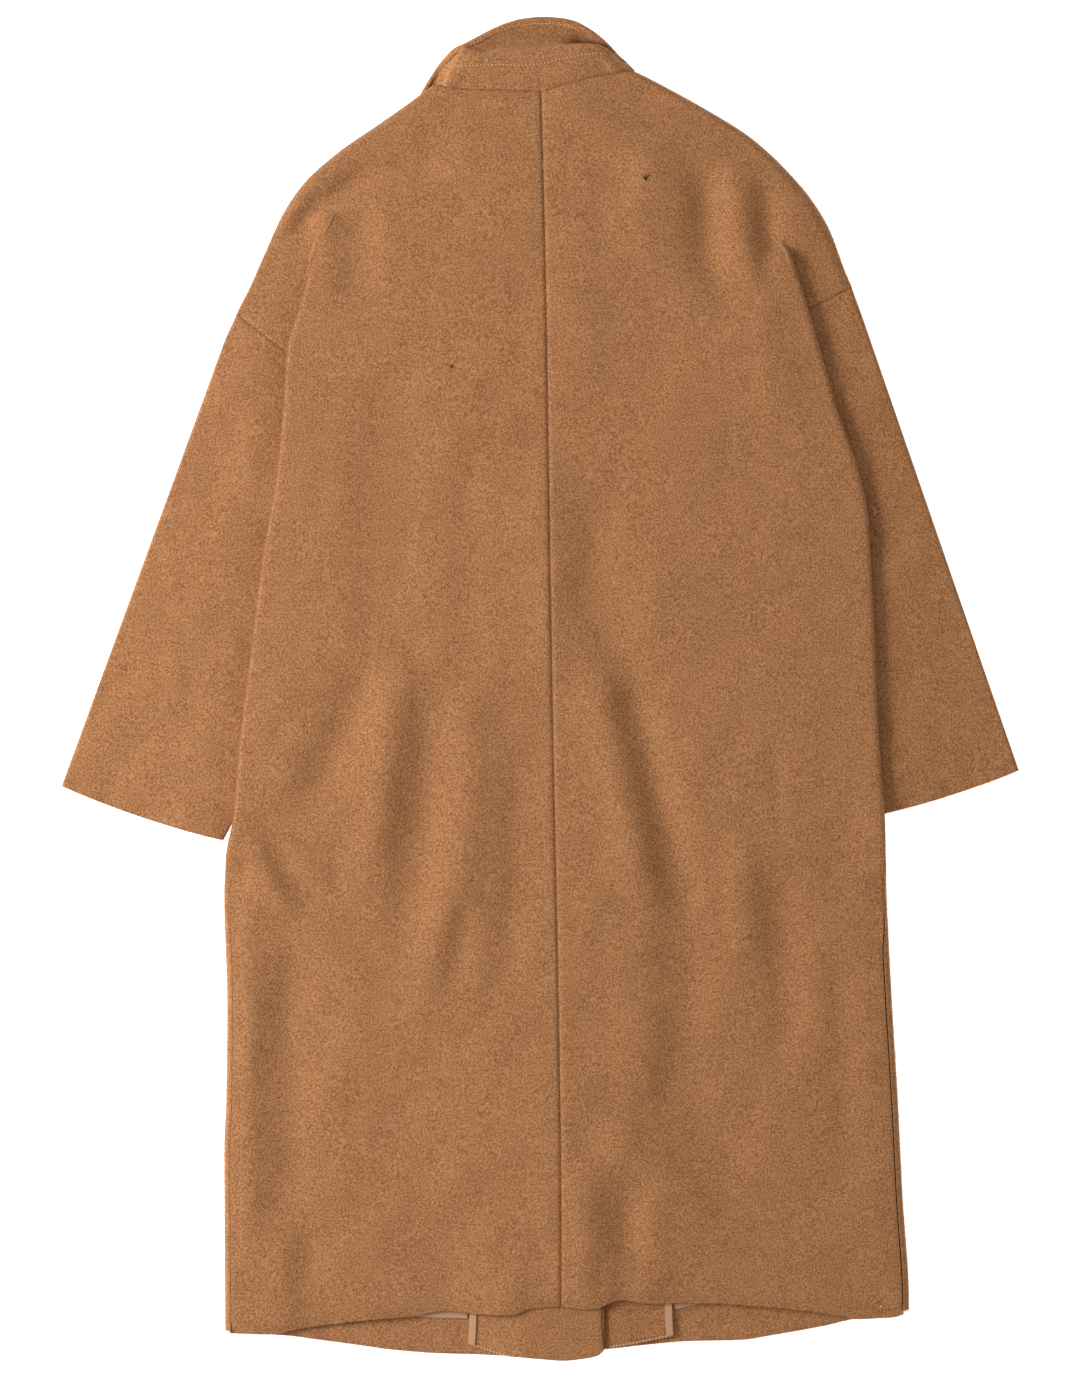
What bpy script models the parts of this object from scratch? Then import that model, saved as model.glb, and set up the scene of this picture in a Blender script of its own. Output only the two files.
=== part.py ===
"""Oversized coat lying face down on a flat surface, so that its back is up.

Metres, +Z up. The collar points to +Y and the coat's left side is at -X.
Each piece is a sheet of cloth along its middle surface, thickened evenly to both sides.
A level is a place along the coat's length, the Y of a row of points before the row is bent
to follow the neck seam or the hem.
"""
import math
from collections import namedtuple

import bmesh
import bpy

# Cloth
CLOTH = 0.0020
COLLAR_CLOTH = 0.0026
TAPE_CLOTH = 0.0010
SEAM_GAP = 0.0003
SIDE_GAP = 0.0009
LAYER = CLOTH + SEAM_GAP
FLOOR_CLOTH = CLOTH / 2

# Length of the body
NECK_LEVEL = 0.537
HEM_LEVEL = -0.560
NECK_FADE = 0.107
HEM_FADE = 0.100
FRONT_NECK_FADE = 0.257
ROW_STEP = 0.046

# Front closing: the right front is outermost, so it lies on the floor under the left one
LEFT_FRONT_EDGE = 0.0567
RIGHT_FRONT_EDGE = -0.0045
FACING_WIDTH = 0.1205
RIGHT_FACING_TOP_WIDTH = 0.070
FACING_TAPER_FROM, FACING_TAPER_TO = -0.250, 0.080
LAP_LINES = (0.0567, 0.0250, -0.0100, -0.0265, -0.0430, -0.0638, -0.0665, -0.0790)
RIGHT_LINES = (-0.0045, 0.0370, 0.0780, 0.1160, 0.1187, 0.1350)
FACING_LINES = 6
RIGHT_FACING_LINES = 4
FACING_LEVELS = (0.420, 0.080, -0.030, -0.140, -0.250, -0.400, -0.498, -0.512, -0.526, -0.560)
TAPE_LINE = 6
RIGHT_TAPE_LINE = 4
LAP_EASE = 0.0006
LAP_START = -0.075
LAP_END = -0.010
HEM_ALLOWANCE = 0.032
HEM_TURN_RADIUS = LAYER / 2
HEM_ZONE_START = -0.498
HEM_ZONE_END = -0.526
TAPE_WIDTH = 0.0062

# Heights of the cloth's middle surface over the floor
SHOULDER_FOLD_HEIGHT = 0.0130
NECK_FOLD_HEIGHT = 0.0150
CAP_HEIGHT = 0.0089
CAP_FALL = 0.0025
CAP_FALL_WIDTH = 0.060
CAP_EDGE_HEIGHT = 0.0047
CAP_EDGE_ROUND = 0.008
NECK_CORNER_LIFT = 0.0060
NECK_CORNER_RUN = 0.028
UNDERCAP_HEIGHT = 0.0062
UNDERCAP_EDGE_HEIGHT = 0.0026
UNDERCAP_FALL_WIDTH = 0.034
PLEAT_RUN = 0.054
PLEAT_OPEN = 172
PLEAT_LEAST = 0.0024
EDGE_SWELL_WIDTH = 0.045
FRONT_INSET = 0.003
UNDERARM_RUN = 0.020
SLEEVE_DROP_FROM = 0.002
SLEEVE_DROP_WIDTH = 0.026

# Columns of points across a panel
BACK_SHARES = (0, 0.10, 0.20, 0.30, 0.41, 0.52, 0.63, 0.74, 0.84, 0.93, 1)
FRONT_SHARES = (0.4, 0.8, 0.965, 1)
CAP_SHARES = (0, 0.45, 0.82, 0.92, 0.98, 1)
UNDERCAP_SHARES = (0, 0.5, 0.9, 1)
TURN_STEPS = 3
PLEAT_STEPS = 1
HEM_TURN_STEPS = 3

# Centre-back seam: level, x
CENTRE_BACK = (
    (0.537, 0.0000), (0.350, 0.0045), (0.116, 0.0080), (-0.055, 0.0110),
    (-0.280, 0.0155), (-0.475, 0.0180), (-0.560, 0.0180),
)

# Rise of the neck seam over the neck level: x, rise
NECK_RISE = (
    (-0.150, 0.0044), (-0.096, 0.0044), (-0.064, 0.0017), (-0.028, 0.0008), (0.000, 0.0000),
    (0.017, 0.0045), (0.055, 0.0143), (0.082, 0.0180), (0.150, 0.0200),
)

# Front neckline: x, y
FRONT_NECK = (
    (-0.092, 0.5370), (-0.080, 0.5150), (-0.032, 0.4810), (0.022, 0.4650),
    (0.030, 0.4650), (0.051, 0.4890), (0.069, 0.5240), (0.082, 0.5480),
)

# Hem of the back: x, y
BACK_HEM = (
    (-0.285, -0.5800), (-0.239, -0.5810), (-0.223, -0.5770), (-0.192, -0.5725), (-0.153, -0.5680),
    (-0.117, -0.5650), (-0.085, -0.5600), (-0.066, -0.5616), (-0.033, -0.5633), (-0.022, -0.5616),
    (-0.010, -0.5576), (0.018, -0.5553), (0.038, -0.5580), (0.050, -0.5576), (0.060, -0.5530),
    (0.070, -0.5495), (0.096, -0.5530), (0.148, -0.5530), (0.195, -0.5558), (0.234, -0.5594),
    (0.272, -0.5648), (0.283, -0.5675), (0.305, -0.5666), (0.318, -0.5657), (0.331, -0.5610),
)

# Hems of the fronts: x, y
LEFT_FRONT_HEM = (
    (-0.285, -0.5800), (-0.231, -0.5828), (-0.198, -0.5870), (-0.168, -0.5910), (-0.131, -0.5960),
    (-0.090, -0.5990), (-0.049, -0.6000), (0.000, -0.6020), (0.020, -0.6030), (0.042, -0.6015),
    (0.057, -0.5950),
)
RIGHT_FRONT_HEM = (
    (-0.005, -0.5995), (0.057, -0.5954), (0.092, -0.5916), (0.133, -0.5880), (0.179, -0.5870),
    (0.206, -0.5830), (0.256, -0.5740), (0.283, -0.5680), (0.305, -0.5666), (0.331, -0.5610),
)

# Lower edges of the facings: x, y
LEFT_FACING_HEM = (
    (-0.064, -0.5900), (-0.050, -0.5945), (-0.030, -0.6000), (0.000, -0.6030), (0.020, -0.6044),
    (0.042, -0.6020), (0.051, -0.6000), (0.057, -0.5950),
)
RIGHT_FACING_HEM = ((-0.005, -0.5960), (0.057, -0.5930), (0.080, -0.5900), (0.106, -0.5850), (0.119, -0.5825))

# Height of the back between its edges: level, at the centre, halfway to the side
BACK_HEIGHTS = (
    (0.537, 0.0170, 0.0160), (0.430, 0.0155, 0.0160), (0.200, 0.0155, 0.0172), (-0.060, 0.0150, 0.0166),
    (-0.180, 0.0136, 0.0105), (-0.280, 0.0130, 0.0090), (-0.470, 0.0130, 0.0090), (-0.540, 0.0170, 0.0100),
    (-0.590, 0.0170, 0.0100),
)
CENTRE_FROM, CENTRE_TO, CENTRE_FALL = -0.025, 0.070, 0.120

# Turn of the cloth at the side, the same words for both sides: level, angle of the outer turn,
# heading at the side seam, radius of the outer turn, radius of the inner turn, radius and angle
# of the front's outer turn
Turn = namedtuple("Turn", "level turn heading radius inner front_radius front_turn")
LEFT_TURNS = (
    Turn(0.4290, 0, 0, 0.0030, 0.0013, 0.0013, 0),
    Turn(0.4050, 90, 0, 0.0030, 0.0013, 0.0013, 90),
    Turn(0.3750, 180, 0, 0.0030, 0.0013, 0.0013, 180),
    Turn(0.1985, 180, 0, 0.0030, 0.0013, 0.0013, 180),
    Turn(0.1785, 180, 90, 0.0030, 0.0038, 0.0013, 180),
    Turn(-0.1250, 180, 90, 0.0030, 0.0038, 0.0013, 180),
    Turn(-0.1430, 180, 90, 0.0024, 0.0022, 0.0013, 180),
    Turn(-0.1650, 90, 90, 0.0045, 0.0020, 0.0045, 90),
    Turn(-0.1900, 45, 45, 0.0045, 0.0020, 0.0045, 135),
    Turn(-0.2250, 0, 0, 0.0045, 0.0020, 0.0045, 180),
)
RIGHT_TURNS = (
    Turn(0.4010, 0, 0, 0.0030, 0.0013, 0.0013, 0),
    Turn(0.3850, 90, 0, 0.0030, 0.0013, 0.0013, 90),
    Turn(0.3570, 180, 0, 0.0030, 0.0013, 0.0013, 180),
    Turn(0.2635, 180, 0, 0.0030, 0.0013, 0.0013, 180),
    Turn(0.2435, 180, 90, 0.0030, 0.0038, 0.0013, 180),
    Turn(-0.1280, 180, 90, 0.0030, 0.0038, 0.0013, 180),
    Turn(-0.1500, 180, 90, 0.0024, 0.0022, 0.0013, 180),
    Turn(-0.1720, 90, 90, 0.0045, 0.0020, 0.0045, 90),
    Turn(-0.2000, 45, 45, 0.0045, 0.0020, 0.0045, 135),
    Turn(-0.2350, 0, 0, 0.0045, 0.0020, 0.0045, 180),
)

# A side of the coat. edge: the body's visible edge over the sleeve, then the side. outline: the
# shoulder, then the sleeve's outer edge. armhole: the armhole seam. inner: the hidden fold of the
# pleat, then the side seam. All four are level, x. The cuff's corners are x, y.
Side = namedtuple("Side", "name hand edge outline armhole inner turns pleat corner crossing underarm cuff_out cuff_in")
LEFT = Side(
    name="left",
    hand=-1,
    edge=(
        (0.537, -0.0830), (0.498, -0.1290), (0.465, -0.1610), (0.429, -0.1880), (0.386, -0.2050),
        (0.340, -0.2180), (0.304, -0.2285), (0.252, -0.2320), (0.188, -0.2385), (0.116, -0.2510),
        (0.026, -0.2620), (-0.046, -0.2710), (-0.127, -0.2768), (-0.154, -0.2835), (-0.190, -0.2853),
        (-0.280, -0.2826), (-0.370, -0.2835), (-0.415, -0.2853), (-0.560, -0.2844),
    ),
    outline=(
        (0.537, -0.0920), (0.526, -0.1125), (0.504, -0.1465), (0.478, -0.1860), (0.4525, -0.2150),
        (0.426, -0.2330), (0.3945, -0.2475), (0.3585, -0.2635), (0.337, -0.2745), (0.327, -0.2790),
        (-0.0824, -0.4293),
    ),
    armhole=((0.337, -0.2745), (0.1985, -0.0910)),
    inner=((0.375, -0.2030), (0.1985, -0.0850), (-0.127, -0.2690), (-0.143, -0.2740), (-0.154, -0.2780)),
    turns=LEFT_TURNS,
    pleat=0.429,
    corner=0.337,
    crossing=0.3035,
    underarm=0.1985,
    cuff_out=(-0.4300, -0.0880),
    cuff_in=(-0.2860, -0.1364),
)
RIGHT = Side(
    name="right",
    hand=1,
    edge=(
        (0.537, 0.0680), (0.500, 0.1180), (0.4705, 0.1590), (0.435, 0.1950), (0.401, 0.2195),
        (0.358, 0.2350), (0.301, 0.2520), (0.2425, 0.2690), (0.197, 0.2850), (0.156, 0.2940),
        (0.107, 0.2970), (0.0435, 0.3000), (-0.028, 0.3030), (-0.082, 0.3065), (-0.114, 0.3090),
        (-0.190, 0.3114), (-0.280, 0.3159), (-0.370, 0.3213), (-0.460, 0.3258), (-0.541, 0.3312),
        (-0.560, 0.3315),
    ),
    outline=(
        (0.537, 0.0775), (0.5215, 0.1160), (0.506, 0.1495), (0.4845, 0.1920), (0.4625, 0.2205),
        (0.439, 0.2440), (0.4125, 0.2600), (0.3765, 0.2735), (0.361, 0.2800), (0.3497, 0.2835),
        (0.2597, 0.3150), (0.080, 0.3762), (-0.073, 0.4300),
    ),
    armhole=((0.361, 0.2800), (0.2635, 0.0800)),
    inner=((0.357, 0.2290), (0.2635, 0.0740), (-0.120, 0.2700), (-0.150, 0.3000), (-0.165, 0.3050)),
    turns=RIGHT_TURNS,
    pleat=0.401,
    corner=0.361,
    crossing=0.3420,
    underarm=0.2635,
    cuff_out=(0.4300, -0.0735),
    cuff_in=(0.2850, -0.1175),
)

# Soft ridges and troughs in the back: start, end, sideways bow, half width, height
Fold = namedtuple("Fold", "name x0 y0 x1 y1 bow width height")
FOLDS = (
    Fold("pleat ridge left", -0.186, 0.435, -0.214, 0.332, 0.000, 0.013, 0.0025),
    Fold("beside pleat left", -0.168, 0.435, -0.179, 0.323, 0.000, 0.014, -0.0025),
    Fold("shoulder blade left", -0.134, 0.305, -0.136, 0.080, 0.013, 0.023, -0.0040),
    Fold("under arm left", -0.134, 0.089, -0.217, -0.100, 0.000, 0.022, -0.0040),
    Fold("side ridge left", -0.104, 0.116, -0.172, -0.145, 0.000, 0.023, 0.0035),
    Fold("waist trough left", -0.084, 0.044, -0.134, -0.244, 0.000, 0.022, -0.0040),
    Fold("waist ridge left", -0.046, 0.026, -0.100, -0.262, -0.004, 0.022, 0.0040),
    Fold("inner trough left", -0.012, -0.046, -0.066, -0.262, 0.000, 0.020, -0.0035),
    Fold("centre ridge left", 0.004, -0.154, -0.023, -0.280, 0.000, 0.016, 0.0020),
    Fold("long ridge right", 0.017, 0.116, 0.103, -0.190, -0.007, 0.022, 0.0035),
    Fold("long trough right", 0.040, 0.116, 0.139, -0.217, -0.007, 0.023, -0.0040),
    Fold("skirt ridge right", 0.080, -0.217, 0.085, -0.370, 0.000, 0.025, 0.0030),
    Fold("skirt trough right", 0.134, -0.190, 0.134, -0.379, 0.000, 0.027, -0.0035),
    Fold("low ridge right", 0.044, -0.352, 0.175, -0.460, 0.000, 0.022, 0.0025),
    Fold("low trough right", 0.058, -0.397, 0.188, -0.523, 0.000, 0.022, -0.0025),
    Fold("hem trough right", 0.073, -0.424, 0.064, -0.559, 0.000, 0.016, -0.0025),
    Fold("hem ridge right", 0.039, -0.415, 0.044, -0.559, 0.000, 0.016, 0.0025),
    Fold("hem ridge far right", 0.100, -0.451, 0.091, -0.559, 0.000, 0.016, 0.0020),
    Fold("outer ridge right", 0.184, -0.145, 0.193, -0.325, 0.000, 0.020, 0.0030),
    Fold("outer trough right", 0.217, -0.145, 0.229, -0.334, 0.000, 0.020, -0.0030),
    Fold("blade trough right", 0.145, 0.476, 0.158, 0.350, 0.000, 0.016, -0.0030),
    Fold("blade ridge right", 0.175, 0.471, 0.186, 0.296, 0.000, 0.016, 0.0030),
    Fold("shoulder trough left", -0.210, 0.435, -0.100, 0.488, 0.000, 0.012, -0.0025),
    Fold("neck ridge right", 0.053, 0.503, 0.058, 0.386, 0.000, 0.018, 0.0015),
    Fold("hem trough left", -0.216, -0.451, -0.213, -0.586, 0.000, 0.013, -0.0020),
    Fold("cuff ridge left", -0.258, -0.141, -0.204, -0.225, 0.000, 0.011, 0.0025),
    Fold("hem ridge centre", -0.004, -0.487, 0.000, -0.565, 0.000, 0.013, 0.0025),
)

# The collar, a row for each section from the left front end round the neck to the right front end:
# neck seam, top of the stand, roll of the fall, outer edge, each x, y, z, then the angle of the roll
Collar = namedtuple("Collar", "seam stand roll edge turn")
COLLAR = (
    Collar((0.0225, 0.4685, 0.0016), (0.0225, 0.4930, 0.0016), (0.0225, 0.5020, 0.0016), (0.0185, 0.5440, 0.0016), 0),
    Collar((-0.0324, 0.4850, 0.0016), (-0.0310, 0.5080, 0.0016), (-0.0300, 0.5170, 0.0016), (-0.0260, 0.5500, 0.0016), 0),
    Collar((-0.0850, 0.5290, 0.0018), (-0.0765, 0.5410, 0.0018), (-0.0710, 0.5480, 0.0018), (-0.0560, 0.5660, 0.0017), 0),
    Collar((-0.0970, 0.5450, 0.0024), (-0.0940, 0.5510, 0.0024), (-0.0905, 0.5555, 0.0023), (-0.0700, 0.5740, 0.0018), 0),
    Collar((-0.1015, 0.5485, 0.0075), (-0.0990, 0.5540, 0.0078), (-0.0960, 0.5590, 0.0074), (-0.0750, 0.5770, 0.0046), 0),
    Collar((-0.0985, 0.5475, 0.0130), (-0.0945, 0.5545, 0.0132), (-0.0905, 0.5605, 0.0126), (-0.0705, 0.5795, 0.0086), 0),
    Collar((-0.0900, 0.5440, 0.0158), (-0.0800, 0.5590, 0.0162), (-0.0690, 0.5740, 0.0138), (-0.0600, 0.5840, 0.0072), 8),
    Collar((-0.0640, 0.5405, 0.0172), (-0.0480, 0.5600, 0.0180), (-0.0485, 0.5715, 0.0160), (-0.0480, 0.5915, 0.0020), 130),
    Collar((-0.0280, 0.5390, 0.0174), (-0.0190, 0.5595, 0.0185), (-0.0120, 0.5725, 0.0168), (-0.0150, 0.6028, 0.0016), 160),
    Collar((0.0000, 0.5384, 0.0174), (0.0045, 0.5620, 0.0185), (0.0100, 0.5747, 0.0168), (0.0080, 0.6044, 0.0016), 160),
    Collar((0.0306, 0.5468, 0.0174), (0.0290, 0.5670, 0.0185), (0.0325, 0.5790, 0.0164), (0.0350, 0.5980, 0.0018), 150),
    Collar((0.0550, 0.5530, 0.0172), (0.0513, 0.5710, 0.0170), (0.0490, 0.5790, 0.0148), (0.0510, 0.5885, 0.0034), 70),
    Collar((0.0770, 0.5580, 0.0152), (0.0695, 0.5655, 0.0152), (0.0630, 0.5715, 0.0138), (0.0560, 0.5840, 0.0072), 8),
    Collar((0.0855, 0.5590, 0.0126), (0.0765, 0.5660, 0.0128), (0.0705, 0.5710, 0.0124), (0.0610, 0.5810, 0.0086), 0),
    Collar((0.0885, 0.5575, 0.0075), (0.0790, 0.5640, 0.0078), (0.0730, 0.5685, 0.0074), (0.0640, 0.5785, 0.0046), 0),
    Collar((0.0850, 0.5545, 0.0024), (0.0760, 0.5610, 0.0024), (0.0700, 0.5655, 0.0023), (0.0600, 0.5755, 0.0018), 0),
    Collar((0.0725, 0.5385, 0.0018), (0.0640, 0.5460, 0.0018), (0.0590, 0.5510, 0.0018), (0.0450, 0.5640, 0.0017), 0),
    Collar((0.0513, 0.4940, 0.0016), (0.0490, 0.5160, 0.0016), (0.0480, 0.5250, 0.0016), (0.0420, 0.5540, 0.0016), 0),
    Collar((0.0297, 0.4685, 0.0016), (0.0297, 0.4930, 0.0016), (0.0297, 0.5020, 0.0016), (0.0257, 0.5440, 0.0016), 0),
)
COLLAR_ROW_STEPS = 2
STAND_STEPS = 2
ROLL_RADIUS = 0.0030
ROLL_RETURN = 0.0050
ROLL_INNER = 0.0021
ROLL_LEAST = 0.0020
JOINT_RUN = 0.0020
JOINT_GAP = 0.0013
FALL_STEPS = 4

# Colours, linear
WOOL = (0.372, 0.168, 0.072, 1.0)
WOOL_INSIDE = (0.376, 0.177, 0.076, 1.0)
TAPE = (0.500, 0.285, 0.155, 1.0)


def ease(share):
    """Smooth step from 0 to 1."""
    share = min(1.0, max(0.0, share))
    return share * share * (3 - 2 * share)


def blend(first, second, share):
    """Straight mix of two numbers."""
    return first + (second - first) * share


def read(table, key, column=1):
    """Smooth value of a table's column, with no overshoot between its rows."""
    rows = sorted(table, key=lambda row: row[0])
    if key <= rows[0][0]:
        return rows[0][column]
    if key >= rows[-1][0]:
        return rows[-1][column]
    place = 0
    while rows[place + 1][0] < key:
        place += 1
    chords = [
        (rows[i + 1][column] - rows[i][column]) / (rows[i + 1][0] - rows[i][0]) for i in range(len(rows) - 1)
    ]

    def slope(i):
        if i == 0 or i == len(rows) - 1:
            return chords[0] if i == 0 else chords[-1]
        before, after = chords[i - 1], chords[i]
        return 0.0 if before * after <= 0 else 2 * before * after / (before + after)

    span = rows[place + 1][0] - rows[place][0]
    t = (key - rows[place][0]) / span
    start, end = rows[place][column], rows[place + 1][column]
    rise = start * (1 + 2 * t) * (1 - t) ** 2 + end * t * t * (3 - 2 * t)
    return rise + span * (slope(place) * t * (1 - t) ** 2 - slope(place + 1) * t * t * (1 - t))


def hem_zone(level):
    """0 above the turned-up hem, 1 along it."""
    return ease((HEM_ZONE_START - level) / (HEM_ZONE_START - HEM_ZONE_END))


def row_y(x, level, hem):
    """Y of a point of a body panel: the level bent to the neck seam above and the hem below."""
    neck = ease((level - NECK_LEVEL + NECK_FADE) / NECK_FADE) * read(NECK_RISE, x)
    foot = ease((HEM_LEVEL + HEM_FADE - level) / HEM_FADE) * (read(hem, x) - HEM_LEVEL)
    return level + neck + foot


def fold_height(x, y):
    """Sum of the soft ridges and troughs at a place on the back."""
    total = 0.0
    for fold in FOLDS:
        run_x, run_y = fold.x1 - fold.x0, fold.y1 - fold.y0
        length = math.hypot(run_x, run_y)
        along = ((x - fold.x0) * run_x + (y - fold.y0) * run_y) / length ** 2
        if along <= 0 or along >= 1:
            continue
        across = ((x - fold.x0) * run_y - (y - fold.y0) * run_x) / length
        across -= fold.bow * 4 * along * (1 - along)
        fade = ease(along / 0.3) * ease((1 - along) / 0.3)
        total += fold.height * fade * math.exp(-((across / fold.width) ** 2))
    return total


def front_height(side, x, level):
    """Middle of a front panel: flat on the floor, the left one lifted where it laps the right."""
    if side.hand > 0:
        return FLOOR_CLOTH
    lap = ease((x - LAP_START) / (LAP_END - LAP_START))
    return FLOOR_CLOTH + lap * (LAYER * (2 + hem_zone(level)) + LAP_EASE)


def facing_height(side, x, level):
    """Middle of a facing, on its front and over the turned-up hem."""
    return front_height(side, x, level) + LAYER * (1 + hem_zone(level))


def least_height(side, x, level):
    """Lowest place for the back's middle, over whatever lies under it."""
    over = FLOOR_CLOTH + 2 * LAYER * hem_zone(level)
    if x < LEFT_FRONT_EDGE + 0.005 and x > LEFT_FRONT_EDGE - FACING_WIDTH - 0.005:
        over = facing_height(LEFT, x, level)
    elif x > 0 and x < RIGHT_FRONT_EDGE + FACING_WIDTH + 0.005:
        over = facing_height(RIGHT, x, level) + LAYER
    folded = side.turns[7].level < level < side.turns[2].level + 0.010
    if folded and side.hand * (x - read(side.inner, level)) > -0.008:
        over = max(over, CAP_HEIGHT + 2 * side.turns[2].inner)
    return over + LAYER + 0.0006


def body_height(side, x, y, level):
    """Middle of the back away from its edges."""
    centre = ease((x - CENTRE_FROM + CENTRE_FALL) / CENTRE_FALL) * ease((CENTRE_TO + CENTRE_FALL - x) / CENTRE_FALL)
    base = blend(read(BACK_HEIGHTS, level, 2), read(BACK_HEIGHTS, level, 1), centre)
    height = base + fold_height(x, y)
    least = least_height(side, x, level)
    give = 0.0008
    return least + give * math.log1p(math.exp(min(60.0, (height - least) / give)))


def cap_height(side, x, y):
    """Middle of the upper layer outside the body's edge: shoulder cap and top of the sleeve."""
    beyond = side.hand * (x - read(side.edge, y))
    return CAP_HEIGHT - CAP_FALL * ease(beyond / CAP_FALL_WIDTH)


def arc(radius, angle, whole, least):
    """Run and drop along an arc, which is at least a given length however little it turns."""
    if whole * radius < least:
        if whole < 0.001:
            return least * angle, 0.0
        radius = least / whole
    return radius * math.sin(angle * whole), radius * (1 - math.cos(angle * whole))


def tail(x, z, hand, rise, turn, radius, straight, heading, inner, least):
    """Points of cloth that turns over an edge, runs back and turns again, from a flat start."""
    points = []
    turn, heading = math.radians(turn), math.radians(heading)
    for i in range(1, TURN_STEPS + 1):
        run, drop = arc(radius, i / TURN_STEPS, turn, least)
        points.append((x + hand * run, z + rise * drop))
    base_x, base_z = points[-1]
    for i in range(1, PLEAT_STEPS + 1):
        run = straight * i / PLEAT_STEPS
        points.append((base_x + hand * run * math.cos(turn), base_z + rise * run * math.sin(turn)))
    base_x, base_z = points[-1]
    back = turn - heading
    if back * inner < least:
        inner = least / back if back > 0.001 else 0.0
    for i in range(1, TURN_STEPS + 1):
        angle = blend(turn, heading, i / TURN_STEPS)
        run = inner * (math.sin(turn) - math.sin(angle)) if inner else least * i / TURN_STEPS
        drop = inner * (math.cos(angle) - math.cos(turn))
        points.append((base_x + hand * run, base_z + rise * drop))
    return points


def side_turn(side, level):
    """The turn of the cloth at a level of a side."""
    return Turn(level, *[read(side.turns, level, column) for column in range(1, 7)])


def side_section(side, level, front):
    """Start, height and tail of a panel's section at a side."""
    hand = side.hand
    bend = side_turn(side, level)
    edge = read(side.edge, level)
    pleated = level <= side.pleat
    joined = level < side.underarm
    start = edge - hand * (bend.radius + CLOTH / 2)
    closing = ease((side.turns[5].level - level) / (side.turns[5].level - side.turns[7].level))
    front_start = edge - hand * (bend.front_radius + CLOTH / 2 + FRONT_INSET * (1 - closing))
    if not pleated:
        share = ease((level - side.pleat) / (NECK_LEVEL - side.pleat))
        return (start if not front else front_start), blend(SHOULDER_FOLD_HEIGHT, NECK_FOLD_HEIGHT, share), []
    depth = ease((bend.turn - PLEAT_OPEN) / (180 - PLEAT_OPEN))
    reach = abs(read(side.inner, level) - start) - bend.inner
    front_reach = abs(read(side.inner, level) - front_start) - bend.inner
    back_run = max(0.0, reach) * depth
    front_run = max(0.0, front_reach) * depth
    front_heading = 180 - bend.heading if joined else 0
    least = 0.0 if joined else PLEAT_LEAST
    under = tail(
        front_start, FLOOR_CLOTH, hand, 1, bend.front_turn, bend.front_radius, front_run, front_heading, bend.inner,
        least,
    )
    over = tail(start, 0.0, hand, -1, bend.turn, bend.radius, back_run, bend.heading, bend.inner, least)
    if joined:
        height = under[-1][1] - over[-1][1] + SIDE_GAP * math.sin(math.radians(bend.heading))
        if level > side.underarm - UNDERARM_RUN:
            height = CAP_HEIGHT + 2 * (side.turns[3].radius + side.turns[3].inner)
        start -= hand * SIDE_GAP * math.cos(math.radians(bend.heading))
    else:
        share = ease((side.pleat - level) / PLEAT_RUN)
        height = blend(SHOULDER_FOLD_HEIGHT, CAP_HEIGHT, share) - over[-1][1]
    if front:
        return front_start, FLOOR_CLOTH, under
    over = tail(start, height, hand, -1, bend.turn, bend.radius, back_run, bend.heading, bend.inner, least)
    return start, height, over


def cap_columns(side, level, start, front):
    """Points of the shoulder cap, from the pleat to the shoulder seam or the armhole seam."""
    x, z = start
    hand = side.hand
    shares = UNDERCAP_SHARES if front else CAP_SHARES
    if level < side.underarm:
        return [(x, z)] * (len(shares) - 1)
    outline = read(side.outline, level)
    end = outline - hand * CLOTH / 2 if level >= side.corner else read(side.armhole, level)
    points = []
    for share in shares[1:]:
        px = blend(x, end, share)
        inside = max(0.0, hand * (outline - px) - CLOTH / 2)
        beyond = hand * (px - read(side.edge, level))
        if front:
            fall = ease(beyond / UNDERCAP_FALL_WIDTH) if level < side.pleat else share
            pz = blend(z, UNDERCAP_EDGE_HEIGHT, fall)
        else:
            top = blend(z, cap_height(side, px, level), ease((side.pleat - level) / PLEAT_RUN))
            rounding = math.sqrt(max(0.0, 1 - max(0.0, 1 - inside / CAP_EDGE_ROUND) ** 2))
            lift = NECK_CORNER_LIFT * ease((level - NECK_LEVEL) / NECK_CORNER_RUN + 1)
            pz = blend(CAP_EDGE_HEIGHT + lift, top, rounding)
        points.append((px, pz))
    return points


def back_row(side, level):
    """Middle-surface points of a back panel at a level, from the centre-back seam outward."""
    hand = side.hand
    start, edge_height, turned = side_section(side, level, False)
    centre = read(CENTRE_BACK, level) + hand * SEAM_GAP / 2
    section = []
    for share in BACK_SHARES:
        x = blend(centre, start, share)
        y = row_y(x, level, BACK_HEM)
        swell = ease(hand * (start - x) / EDGE_SWELL_WIDTH)
        section.append((x, blend(edge_height, body_height(side, x, y, level), swell)))
    section += turned or [section[-1]] * (2 * TURN_STEPS + PLEAT_STEPS)
    section += cap_columns(side, level, section[-1], False)
    return [(x, row_y(x, level, BACK_HEM), z) for x, z in section]


def front_y(side, x, level):
    """Y of a point of a front panel, bent to the front neckline and the front hem."""
    hem = LEFT_FRONT_HEM if side.hand < 0 else RIGHT_FRONT_HEM
    lift = HEM_TURN_RADIUS + CLOTH / 2
    y = row_y(x, level, hem) + lift * ease((HEM_LEVEL + HEM_FADE - level) / HEM_FADE)
    neck = FRONT_NECK[0][0] if side.hand < 0 else FRONT_NECK[-1][0]
    if side.hand * (neck - x) <= 0:
        return y
    drop = read(FRONT_NECK, x) - NECK_LEVEL - read(NECK_RISE, x)
    return y + drop * ease((level - NECK_LEVEL + FRONT_NECK_FADE) / FRONT_NECK_FADE)


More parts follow.
